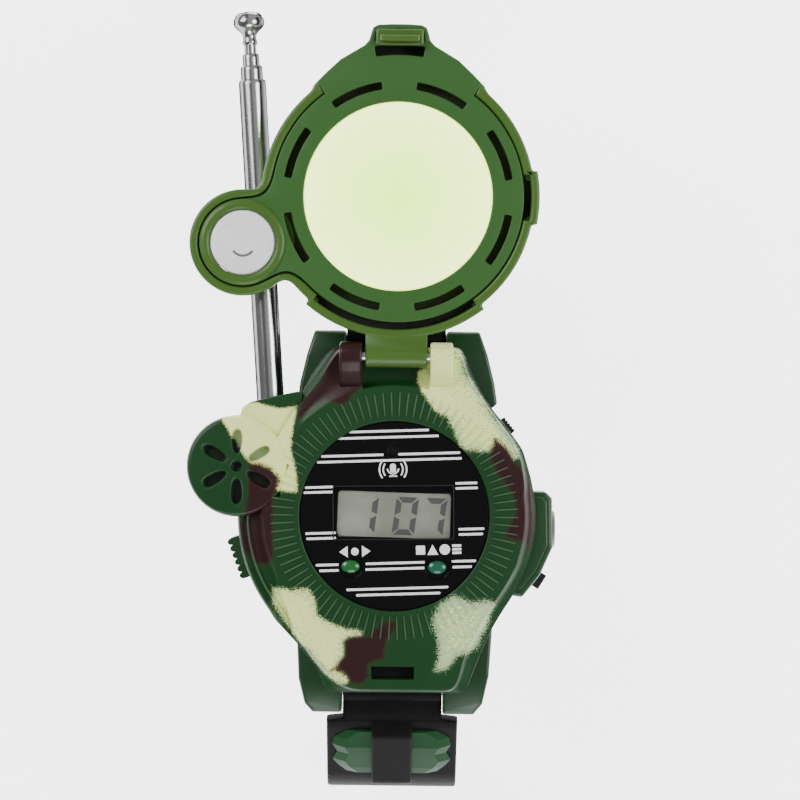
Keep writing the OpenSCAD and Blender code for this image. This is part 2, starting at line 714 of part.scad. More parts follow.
module buckle_frame() {
    color("silver") at_buckle() difference() {
        union() {
            for (s = [-1, 1]) translate([s * 11.7 - 0.9, -14, -1]) cube([1.8, 14, 2]);
            for (s = [-1, 1]) translate([s * 11.7, 0, 0]) along_x(1.7, 0.9);
            translate([-12.6, -15, -1]) cube([25.2, 2.4, 2]);
        }
        along_x(0.9, 20);
    }
}
module buckle_pin() {
    color("silver") at_buckle() along_x(0.9, 12.4);
}
module buckle_tang() {
    color("silver") at_buckle() difference() {
        union() {
            along_x(1.7, 1.1);
            translate([-0.9, -15.2, -2.05]) cube([1.8, 14.6, 0.95]);
        }
        along_x(0.9 + fit, 5);
    }
}

front_shell();
back_shell();
battery_door();
door_screw();
case_screws();
radio_cells();
contact_plates();
main_board();
speaker_frame();
speaker_cone();
microphone();
dial_plate();
lcd_window();
lcd_panel();
zebra_strip();
clock_board();
clock_cell();
key_pad();
set_button();
mode_button();
ptt_button();
ptt_spring();
ptt_switch();
power_slider();
slide_switch();
torch_housing();
torch_lens();
torch_led();
torch_button();
torch_switch();
antenna_tube();
antenna_clamp();
antenna_section_2();
antenna_section_3();
antenna_rod();
hinge_pin();
lid_shell();
lid_liner();
glow_disc();
signal_mirror();
compass_case();
compass_dial();
compass_pivot();
compass_needle();
compass_crystal();
strap_lower();
lower_link_plate();
lower_lug_pin();
strap_upper();
upper_link_plate();
upper_lug_pin();
strap_keeper();
buckle_frame();
buckle_pin();
buckle_tang();
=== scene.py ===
"""Looks of a toy walkie-talkie watch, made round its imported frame.

Sizes are in millimetres in this file; meshes are written in metres.
"""

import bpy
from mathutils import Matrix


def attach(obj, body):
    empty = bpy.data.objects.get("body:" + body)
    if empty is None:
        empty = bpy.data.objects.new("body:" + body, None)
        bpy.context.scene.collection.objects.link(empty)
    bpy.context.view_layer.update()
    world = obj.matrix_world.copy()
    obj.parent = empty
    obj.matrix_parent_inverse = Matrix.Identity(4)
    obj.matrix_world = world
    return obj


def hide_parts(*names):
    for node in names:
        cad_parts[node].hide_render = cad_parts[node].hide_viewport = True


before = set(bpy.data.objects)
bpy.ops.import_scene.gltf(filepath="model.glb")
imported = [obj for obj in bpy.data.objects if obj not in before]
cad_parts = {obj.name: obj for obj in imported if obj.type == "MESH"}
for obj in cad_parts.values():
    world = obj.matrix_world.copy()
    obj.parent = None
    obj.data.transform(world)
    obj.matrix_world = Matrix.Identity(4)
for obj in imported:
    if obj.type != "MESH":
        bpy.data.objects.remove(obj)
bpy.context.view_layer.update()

import logging
import math
from dataclasses import dataclass
from enum import Enum
from typing import Callable, Sequence

import bmesh
import bpy
import numpy as np

MM = 0.001
LOG = logging.getLogger("watch")
Array = np.ndarray
Colour = tuple[float, float, float]


# ---- Shader expressions ---------------------------------------------------------------------


class Value:
    """A number socket that Python arithmetic can be written on."""

    def __init__(self, graph: "Graph", socket: bpy.types.NodeSocket) -> None:
        """Wraps one output socket of a graph."""
        self.graph = graph
        self.socket = socket

    def _math(self, operation: str, *others: "Value | float", clamp: bool = False) -> "Value":
        """A Math node on this value and the others."""
        settings = {"operation": operation, "use_clamp": clamp}
        inputs = dict(enumerate((self, *others)))
        return self.graph.value("ShaderNodeMath", settings, inputs)

    def __add__(self, other: "Value | float") -> "Value":
        """Sum."""
        return self._math("ADD", other)

    __radd__ = __add__

    def __sub__(self, other: "Value | float") -> "Value":
        """Difference."""
        return self._math("SUBTRACT", other)

    def __rsub__(self, other: float) -> "Value":
        """A number less this value."""
        settings = {"operation": "SUBTRACT"}
        return self.graph.value("ShaderNodeMath", settings, {0: other, 1: self})

    def __mul__(self, other: "Value | float") -> "Value":
        """Product."""
        return self._math("MULTIPLY", other)

    __rmul__ = __mul__

    def __truediv__(self, other: "Value | float") -> "Value":
        """Quotient."""
        return self._math("DIVIDE", other)

    def clamped(self) -> "Value":
        """The value held between 0 and 1."""
        return self._math("ADD", 0.0, clamp=True)

    def ramp(self, low: float, high: float) -> "Value":
        """0 below low, 1 above high, and smooth between them."""
        settings = {"interpolation_type": "SMOOTHSTEP"}
        inputs = {0: self, 1: low, 2: high, 3: 0.0, 4: 1.0}
        return self.graph.value("ShaderNodeMapRange", settings, inputs)


class Graph:
    """The node tree of one material, written as expressions."""

    def __init__(self, name: str) -> None:
        """Starts a material that holds one Principled shader."""
        self.material = bpy.data.materials.new(name)
        self.material.use_nodes = True
        self.tree = self.material.node_tree
        self.shader = self.tree.nodes["Principled BSDF"]
        self._place: bpy.types.NodeSocket | None = None

    def node(self, kind: str, settings: dict, inputs: dict) -> bpy.types.Node:
        """Adds a node.

        Args:
            kind: the node's type.
            settings: attributes set on the node before its sockets.
            inputs: socket name or number to a number, tuple, socket or Value.

        Returns:
            The new node.
        """
        node = self.tree.nodes.new(kind)
        for key, setting in settings.items():
            setattr(node, key, setting)
        for key, given in inputs.items():
            self.feed(node.inputs[key], given)
        return node

    def feed(self, socket: bpy.types.NodeSocket, given: object) -> None:
        """Links a socket or Value to an input, or sets its number."""
        if isinstance(given, Value):
            given = given.socket
        if isinstance(given, bpy.types.NodeSocket):
            self.tree.links.new(given, socket)
        else:
            socket.default_value = given

    def value(self, kind: str, settings: dict, inputs: dict, out: int = 0) -> Value:
        """Adds a node and wraps one of its outputs."""
        return Value(self, self.node(kind, settings, inputs).outputs[out])

    def place(self) -> bpy.types.NodeSocket:
        """The point in the object's own frame, in metres."""
        if self._place is None:
            self._place = self.node("ShaderNodeTexCoord", {}, {}).outputs["Object"]
        return self._place

    def noise(self, per_mm: float, detail: float = 2.0, stretch: Colour = (1, 1, 1)) -> Value:
        """Smooth noise from 0 to 1, with the number of grains in a millimetre."""
        scale = tuple(per_mm / MM * s for s in stretch)
        place = self.node("ShaderNodeMapping", {}, {"Vector": self.place(), "Scale": scale})
        inputs = {"Vector": place.outputs[0], "Scale": 1.0, "Detail": detail}
        return self.value("ShaderNodeTexNoise", {}, inputs)

    def attribute(self, name: str) -> Value:
        """A number stored on the mesh."""
        return self.value("ShaderNodeAttribute", {"attribute_name": name}, {}, out=2)

    def mix(self, share: "Value | float", first: object, second: object) -> bpy.types.NodeSocket:
        """A colour between two colours."""
        inputs = {0: share, 6: self.rgba(first), 7: self.rgba(second)}
        return self.node("ShaderNodeMix", {"data_type": "RGBA"}, inputs).outputs[2]

    @staticmethod
    def rgba(colour: object) -> object:
        """A colour tuple given its fourth number; a socket is left as it is."""
        return (*colour, 1.0) if isinstance(colour, tuple) else colour

    def bump(self, height: Value, depth_mm: float, strength: float = 1.0) -> None:
        """Raises the shader's normal by a height from 0 to 1 that stands for depth_mm."""
        inputs = {"Height": height, "Distance": depth_mm * MM, "Strength": strength}
        node = self.node("ShaderNodeBump", {}, inputs)
        self.tree.links.new(node.outputs[0], self.shader.inputs["Normal"])

    def finish(self, **sockets: object) -> bpy.types.Material:
        """Feeds the Principled shader's sockets, named with _ for a space."""
        for key, given in sockets.items():
            socket = self.shader.inputs[key.replace("_", " ")]
            self.feed(socket, self.rgba(given))
        return self.material


# ---- Finishes -------------------------------------------------------------------------------


@dataclass(frozen=True)
class MouldedPlastic:
    """Injection-moulded plastic with faint flow marks and a fine skin grain."""

    name: str
    colour: Colour
    roughness: float = 0.35
    grain: float = 0.012
    gloss: float = 0.5
    mottle: float = 0.12

    def material(self) -> bpy.types.Material:
        """Builds the material."""
        g = Graph(self.name)
        flow = g.noise(0.05, 3.0)
        grain = g.noise(2.4, 3.0)
        dark = tuple(c * (1 - self.mottle) for c in self.colour)
        light = tuple(min(1.0, c * (1 + self.mottle)) for c in self.colour)
        colour = g.mix(flow, dark, light)
        rough = self.roughness + (flow - 0.5) * 0.12 + (grain - 0.5) * 0.06
        g.bump(grain, self.grain)
        return g.finish(Base_Color=colour, Roughness=rough, Specular_IOR_Level=self.gloss)


@dataclass(frozen=True)
class CamouflagePaint:
    """Green plastic with brown and cream patches sprayed through a stencil.

    The mesh stores the distance in millimetres to the nearest brown and cream patch, below 0
    inside it, how thinly the cream lies, where the recesses are darkened as painted shade, and
    where the rib tops are lightened as a painted highlight with some wear.
    """

    name: str = "camouflage_plastic"
    green: Colour = (0.0052, 0.036, 0.0085)
    brown: Colour = (0.020, 0.0046, 0.0050)
    brown_dust: Colour = (0.085, 0.018, 0.008)
    cream: Colour = (0.76, 0.84, 0.30)
    cream_dust: Colour = (0.31, 0.45, 0.25)
    # Painted shade in the petal holes and the latch slot, under cream paint.
    sunk: Colour = (0.15, 0.22, 0.13)
    # Painted highlight with some wear along the rib tops and the wing's ridges.
    crest_highlight_and_wear: Colour = (0.16, 0.30, 0.17)
    # Painted shade in the petal holes and the latch slot elsewhere: near black.
    hole: Colour = (0.003, 0.005, 0.0035)

    def material(self) -> bpy.types.Material:
        """Builds the material."""
        g = Graph(self.name)
        wobble = (g.noise(0.30, 1.0) - 0.5) * 0.9
        dust = g.noise(4.5, 1.0) - 0.5
        fleck = g.noise(3.2, 2.0)
        grain = g.noise(2.2, 3.0)
        thin = g.attribute("thin")
        green = g.mix(g.noise(0.06, 2.0), tuple(c * 0.8 for c in self.green),
                      tuple(c * 1.2 for c in self.green))
        cream_at = g.attribute("cream") + wobble + dust * (1.1 + thin * 3.4)
        cream_on = 1.0 - cream_at.ramp(-0.30, 0.34)
        depth = (0.0 - g.attribute("cream")).ramp(-0.4, 2.6)
        bare = (fleck + thin * 0.42 - depth * 0.16).ramp(0.60, 0.74)
        cream = g.mix(bare * 0.9, self.cream, self.cream_dust)
        brown_at = g.attribute("brown") + wobble * 0.8
        red_on = 1.0 - (brown_at + dust * 2.8).ramp(-0.1, 0.5)
        brown_on = 1.0 - (brown_at + dust * 1.7).ramp(-0.7, 0.2)
        colour = g.mix(cream_on, green, cream)
        colour = g.mix(red_on * (0.12 + cream_on * 0.6), colour, self.brown_dust)
        colour = g.mix(brown_on, colour, self.brown)
        # Painted highlight with some wear: the marked rib tops and wing ridges turn lighter.
        colour = g.mix(g.attribute("rib") * 0.30, colour, self.crest_highlight_and_wear)
        pale = cream_on * (1.0 - brown_on)
        # Painted shade: the marked recesses turn dark, less dark under cream paint.
        colour = g.mix(g.attribute("pit") * 0.9, colour, g.mix(pale, self.hole, self.sunk))
        rough = 0.38 + (grain - 0.5) * 0.08 + cream_on * 0.06
        g.bump(grain * 0.7 + cream_on * 0.5 + brown_on * 0.5, 0.012)
        return g.finish(Base_Color=colour, Roughness=rough, Specular_IOR_Level=0.26)


@dataclass(frozen=True)
class PlatedMetal:
    """Metal with fine drawing marks along one axis and a few dull smears."""

    name: str
    colour: Colour = (0.78, 0.78, 0.80)
    roughness: float = 0.12
    along: Colour = (1.0, 0.03, 1.0)
    scratch: float = 0.003
    metal: float = 1.0

    def material(self) -> bpy.types.Material:
        """Builds the material."""
        g = Graph(self.name)
        lines = g.noise(3.0, 3.0, self.along)
        smear = g.noise(0.12, 2.0)
        colour = g.mix(smear, tuple(c * 0.9 for c in self.colour), self.colour)
        rough = self.roughness + (lines - 0.5) * 0.1 + smear.ramp(0.5, 0.8) * 0.12
        g.bump(lines, self.scratch)
        return g.finish(Base_Color=colour, Roughness=rough, Metallic=self.metal)


@dataclass(frozen=True)
class ReflectionBandedTube:
    """Plated tube whose skin shows long dark and bright bands, a painted reflection in its colour.

    The bands follow the way the surface faces across the tube, so they run along it.
    """

    name: str = "chrome_painted_reflection"
    colour: Colour = (0.74, 0.74, 0.76)
    edge: Colour = (0.10, 0.10, 0.11)
    roughness: float = 0.2

    def material(self) -> bpy.types.Material:
        """Builds the material."""
        g = Graph(self.name)
        facing = g.node("ShaderNodeNewGeometry", {}, {}).outputs["Normal"]
        across = g.value("ShaderNodeSeparateXYZ", {}, {0: facing})
        # Painted reflection: the colour's dark and bright bands follow which way the surface faces.
        tone = 0.10 + across.ramp(-0.98, -0.72) * 0.26 - across.ramp(-0.5, -0.3) * 0.10
        tone = tone + across.ramp(-0.12, 0.10) * 0.62 - across.ramp(0.38, 0.56) * 0.80
        tone = tone + across.ramp(0.78, 0.92) * 0.22 + (g.noise(0.5, 3.0, (1.0, 0.06, 1.0)) - 0.5) * 0.16
        colour = g.mix(tone.clamped(), (0.02, 0.02, 0.022), self.colour)
        rough = self.roughness + (g.noise(2.0, 2.0, (1.0, 0.04, 1.0)) - 0.5) * 0.1
        return g.finish(Base_Color=colour, Roughness=rough, Metallic=1.0, Specular_Tint=self.edge)


@dataclass(frozen=True)
class SoftRubber:
    """Soft moulded strap material with a fine pebbled skin and handling dust."""

    name: str
    colour: Colour = (0.0034, 0.0032, 0.0038)
    roughness: float = 0.55

    def material(self) -> bpy.types.Material:
        """Builds the material."""
        g = Graph(self.name)
        pebble = g.noise(1.8, 4.0)
        wear = g.noise(0.09, 4.0).ramp(0.45, 0.8)
        colour = g.mix(wear * 0.6, self.colour, tuple(c * 1.6 + 0.002 for c in self.colour))
        rough = self.roughness + (pebble - 0.5) * 0.16 + wear * 0.08
        g.bump(pebble, 0.03)
        return g.finish(Base_Color=colour, Roughness=rough, Specular_IOR_Level=0.08)


@dataclass(frozen=True)
class GlowPaintedSheet:
    """The pale plate in the lid: milky, greener in the middle, lightly scuffed, with a painted glow."""

    name: str = "sheet_painted_glow"
    centre: tuple[float, float] = (0.0, 67.0)
    middle: Colour = (0.60, 0.84, 0.20)
    edge: Colour = (0.78, 0.87, 0.38)
    glow_middle: Colour = (0.46, 1.0, 0.02)
    glow_edge: Colour = (0.80, 1.0, 0.20)

    def material(self) -> bpy.types.Material:
        """Builds the material."""
        g = Graph(self.name)
        offset = (-self.centre[0] * MM, -self.centre[1] * MM, 0.0)
        moved = g.node("ShaderNodeVectorMath", {"operation": "ADD"}, {0: g.place(), 1: offset})
        flat = g.node("ShaderNodeVectorMath", {"operation": "MULTIPLY"},
                      {0: moved.outputs[0], 1: (1, 1, 0)})
        reach = g.value("ShaderNodeVectorMath", {"operation": "LENGTH"}, {0: flat.outputs[0]}, out=1)
        cloud = (g.noise(0.16, 4.0) - 0.5) * 0.5
        share = (reach / (19.0 * MM) + cloud).clamped()
        specks = g.noise(1.6, 2.0).ramp(0.70, 0.78)
        colour = g.mix(specks * 0.35, g.mix(share, self.middle, self.edge), (0.97, 0.97, 0.86))
        scuff = g.noise(1.5, 3.0, (1.0, 0.08, 1.0)).ramp(0.5, 0.75)
        g.bump(g.noise(0.9, 3.0), 0.01)
        # Painted glow: the plate shines by its own emission, though it is no lamp.
        glow = g.mix(share, self.glow_middle, self.glow_edge)
        return g.finish(Base_Color=colour, Roughness=0.38 + scuff * 0.15, Emission_Color=glow,
                        Emission_Strength=3.0)


@dataclass(frozen=True)
class ClearPlastic:
    """A clear moulded lens or window."""

    name: str
    tint: Colour = (0.92, 0.96, 0.97)
    alpha: float = 0.2

    def material(self) -> bpy.types.Material:
        """Builds the material."""
        g = Graph(self.name)
        rough = 0.05 + g.noise(0.2, 3.0) * 0.06
        return g.finish(Base_Color=self.tint, Roughness=rough, Alpha=self.alpha)


@dataclass(frozen=True)
class DisplayGlass:
    """The display's grey-green polariser, a little clouded."""

    name: str = "display_glass"
    dark: Colour = (0.125, 0.14, 0.10)
    light: Colour = (0.215, 0.23, 0.17)

    def material(self) -> bpy.types.Material:
        """Builds the material."""
        g = Graph(self.name)
        cloud = g.noise(0.10, 3.0).ramp(0.35, 0.65)
        grain = g.noise(3.0, 2.0)
        colour = g.mix(grain * 0.25, g.mix(cloud, self.dark, self.light), self.light)
        return g.finish(Base_Color=colour, Roughness=0.4 + grain * 0.05, Specular_IOR_Level=0.4)


class Palette:
    """Every finish that the pieces use, each built once."""

    def __init__(self) -> None:
        """Builds the materials."""
        self.camo = CamouflagePaint().material()
        self.case = MouldedPlastic("case_plastic", (0.0052, 0.036, 0.0085), 0.33, gloss=0.42).material()
        self.lid = MouldedPlastic("lid_plastic", (0.044, 0.102, 0.014), 0.34, gloss=0.35,
                                  mottle=0.06).material()
        self.liner = MouldedPlastic("liner_plastic", (0.029, 0.092, 0.018), 0.40, gloss=0.3,
                                    mottle=0.10).material()
        self.key = MouldedPlastic("key_plastic", (0.008, 0.10, 0.022), 0.22, gloss=0.6).material()
        self.teal = MouldedPlastic("teal_plastic", (0.006, 0.085, 0.045), 0.22, gloss=0.6).material()
        self.link = MouldedPlastic("link_plastic", (0.006, 0.046, 0.013), 0.36, gloss=0.12).material()
        self.dark = MouldedPlastic("knob_plastic", (0.007, 0.0062, 0.0062), 0.45, gloss=0.35).material()
        self.grey = MouldedPlastic("grey_plastic", (0.09, 0.09, 0.092), 0.40).material()
        self.black = MouldedPlastic("dial_print", (0.0022, 0.0022, 0.0028), 0.16, grain=0.003,
                                    gloss=0.2).material()
        self.board = MouldedPlastic("solder_mask", (0.02, 0.15, 0.07), 0.3).material()
        self.ink = MouldedPlastic("silver_ink", (0.78, 0.79, 0.80), 0.35, grain=0.004,
                                  mottle=0.03).material()
        self.digit = MouldedPlastic("display_segment", (0.014, 0.015, 0.014), 0.5, grain=0.002,
                                    gloss=0.1).material()
        self.ivory = MouldedPlastic("ivory_plastic", (0.8, 0.76, 0.6), 0.35).material()
        self.pink = SoftRubber("zebra_rubber", (0.6, 0.2, 0.3)).material()
        self.pad = SoftRubber("pad_rubber", (0.12, 0.12, 0.12)).material()
        self.strap = SoftRubber("strap_rubber").material()
        self.cone = SoftRubber("cone_paper", (0.02, 0.02, 0.02), 0.8).material()
        self.chrome = PlatedMetal("plated_chrome", (0.36, 0.36, 0.37), 0.24).material()
        self.tube = ReflectionBandedTube().material()
        self.steel = PlatedMetal("turned_steel", (0.56, 0.56, 0.57), 0.25, (1, 1, 0.1)).material()
        self.cup = PlatedMetal("compass_metal", (0.86, 0.86, 0.89), 0.5, (1, 1, 1), 0.012, 0.35).material()
        self.brass = PlatedMetal("sprung_brass", (0.66, 0.48, 0.20), 0.28).material()
        self.mirror = PlatedMetal("mirror_face", (0.9, 0.9, 0.92), 0.03, (1, 1, 1), 0.001).material()
        self.glow = GlowPaintedSheet().material()
        self.clear = ClearPlastic("clear_plastic", (0.5, 0.5, 0.5), 0.06).material()
        self.lens = ClearPlastic("lens_plastic", (0.95, 0.97, 1.0), 0.45).material()
        self.display = DisplayGlass().material()
        self.shade = MouldedPlastic("hollow_shade", (0.004, 0.006, 0.004), 0.8).material()
        # Painted shade: a dark metal that marks the dent in the compass back.
        self.dull = PlatedMetal("dent_painted_shade", (0.22, 0.22, 0.24), 0.5).material()
        self.card = MouldedPlastic("dial_card", (0.85, 0.85, 0.8), 0.5).material()
        self.red = MouldedPlastic("needle_red", (0.6, 0.03, 0.03), 0.3).material()


# ---- Shapes ---------------------------------------------------------------------------------


def circle_field(x: Array, y: Array, at: Sequence[float], radius: float) -> Array:
    """Signed distance to a circle: the distance to its centre less its radius."""
    return np.hypot(x - at[0], y - at[1]) - radius


def capsule_field(x: Array, y: Array, a: Sequence[float], b: Sequence[float], radius: float) -> Array:
    """Signed distance to a stroke with round ends: distance to the nearest point of a-b."""
    along = np.subtract(b, a)
    share = ((x - a[0]) * along[0] + (y - a[1]) * along[1]) / max(along @ along, 1e-9)
    share = np.clip(share, 0, 1)
    return np.hypot(x - a[0] - share * along[0], y - a[1] - share * along[1]) - radius


def polygon_field(x: Array, y: Array, corners: Sequence[Sequence[float]]) -> Array:
    """Signed distance to a polygon: least distance to an edge, negative by crossing count."""
    corners = np.asarray(corners, float)
    nearest = np.full(np.shape(x), 1e9)
    inside = np.zeros(np.shape(x), bool)
    for (ax, ay), (bx, by) in zip(corners, np.roll(corners, -1, axis=0)):
        nearest = np.minimum(nearest, capsule_field(x, y, (ax, ay), (bx, by), 0.0))
        crosses = (ay > y) != (by > y)
        inside ^= crosses & (x < (bx - ax) * (y - ay) / (by - ay + 1e-12) + ax)
    return np.where(inside, -nearest, nearest)


def box_field(x: Array, y: Array, at: Sequence[float], half: Sequence[float], corner: float = 0.0) -> Array:
    """Signed distance to a rectangle with rounded corners."""
    qx = np.abs(x - at[0]) - half[0] + corner
    qy = np.abs(y - at[1]) - half[1] + corner
    outside = np.hypot(np.maximum(qx, 0), np.maximum(qy, 0))
    return outside + np.minimum(np.maximum(qx, qy), 0) - corner


def blend_fields(a: Array, b: Array, reach: float) -> Array:
    """The union of two shapes with a fillet: polynomial smooth minimum over reach."""
    share = np.clip(0.5 + 0.5 * (b - a) / reach, 0, 1)
    return b + (a - b) * share - reach * share * (1 - share)


def smooth(x: Array, low: float, high: float) -> Array:
    """0 below low and 1 above high, by a cubic between them."""
    t = np.clip((x - low) / (high - low), 0, 1)
    return t * t * (3 - 2 * t)


def reach_of(shape: Callable[[Array, Array], Array], angles: Array, low: float, high: float,
             at: Sequence[float] = (0, 0)) -> Array:
    """How far each ray from a point runs before it leaves a shape for the last time.

    Args:
        shape: the shape's signed distance.
        angles: directions of the rays, in radians.
        low: a distance that is inside the shape on every ray.
        high: a distance that is outside on every ray.
        at: the point that the rays start from.

    Returns:
        One distance for each ray, found by sampling and a straight line at the last change.
    """
    r = np.linspace(low, high, 600)
    x = at[0] + np.cos(angles)[:, None] * r
    y = at[1] + np.sin(angles)[:, None] * r
    d = shape(x, y)
    last = r.size - 1 - np.argmax((d < 0)[:, ::-1], axis=1)
    last = np.minimum(last, r.size - 2)
    rows = np.arange(angles.size)
    d0, d1 = d[rows, last], d[rows, last + 1]
    return r[last] + (r[1] - r[0]) * d0 / (d0 - d1 + 1e-12)


def eased(angles: Array, reach: Array, spread: float, kept: float) -> Array:
    """A closed outline's reach with its kinks eased: a moving average round the circle.

    Args:
        angles: the angles of the reaches, in radians, rising.
        reach: one distance for each angle.
        spread: how far the average runs to either side, in degrees.
        kept: degrees from which, up to the same mirrored about 90, the outline is left alone.

    Returns:
        The eased distances.
    """
    even = np.arange(0, 360, 0.25)
    row = np.interp(even, np.degrees(angles), reach, period=360)
    window = np.hanning(int(spread * 8) + 3)[1:-1]
    half = len(window) // 2
    wrapped = np.concatenate([row[-half:], row, row[:half]])
    soft = np.convolve(wrapped, window / window.sum(), "valid")
    away = np.abs(even - 90) - (90 - kept)
    share = smooth(away, 0, 6)
    return np.interp(np.degrees(angles), even, row + (soft - row) * share, period=360)


def rounded_corners(points: Sequence[Sequence[float]], radius: float, steps: int = 5,
                    closed: bool = True) -> Array:
    """Replaces each corner of an outline with an arc of a radius, or less on a short side."""
    pts = np.asarray(points, float)
    out = []
    count = len(pts)
    for i in range(count):
        here = pts[i]
        if not closed and i in (0, count - 1):
            out.append(here[None])
            continue
        before, after = pts[i - 1] - here, pts[(i + 1) % count] - here
        la, lb = np.linalg.norm(before), np.linalg.norm(after)
        ua, ub = before / la, after / lb
        half = math.acos(float(np.clip(ua @ ub, -1, 1))) / 2
        if half > math.pi / 2 - 0.02:
            out.append(here[None])
            continue
        cut = min(radius / math.tan(half), la * 0.48, lb * 0.48)
        t = np.linspace(0, 1, steps)[:, None]
        out.append(here + cut * (ua * (1 - t) ** 2 + ub * t ** 2))
    return np.concatenate(out)


def evenly(loop: Array, count: int) -> Array:
    """A closed outline walked again in a number of equal steps."""
    closed = np.concatenate([loop, loop[:1]])
    walked = np.concatenate([[0], np.cumsum(np.linalg.norm(np.diff(closed, axis=0), axis=1))])
    steps = np.arange(count) * walked[-1] / count
    return np.stack([np.interp(steps, walked, closed[:, k]) for k in (0, 1)], axis=1)


def circle_points(radius: float, at: Sequence[float] = (0, 0), count: int = 96,
                  start: float = 0.0, sweep: float = 360.0) -> Array:
    """Points round a circle, or along an arc with both its ends."""
    angles = np.radians(start + sweep * np.arange(count) / (count if sweep == 360 else count - 1))
    return np.stack([at[0] + radius * np.cos(angles), at[1] + radius * np.sin(angles)], axis=1)


def arc_slot(inner: float, outer: float, middle: float, half: float, at: Sequence[float]) -> Array:
    """The outline of a slot that bends round a centre, with rounded corners."""
    out = circle_points(outer, at, 14, middle - half, 2 * half)
    back = circle_points(inner, at, 14, middle + half, -2 * half)
    loop = np.concatenate([out, back])
    return rounded_corners(loop, 0.35, 4)


def oval_points(half: Sequence[float], at: Sequence[float], corner: float) -> Array:
    """A rectangle's outline with rounded corners, centred at a point."""
    x, y = half
    square = np.array([[-x, -y], [x, -y], [x, y], [-x, y]]) + np.asarray(at)
    return rounded_corners(square, corner, 7)


# ---- Meshes ---------------------------------------------------------------------------------


class Place(Enum):
    """Frames that pieces are drawn in before they are put on the watch."""

    WATCH = "watch"
    ANTENNA = "antenna"
    LOWER_STRAP = "lower strap"
    UPPER_STRAP = "upper strap"


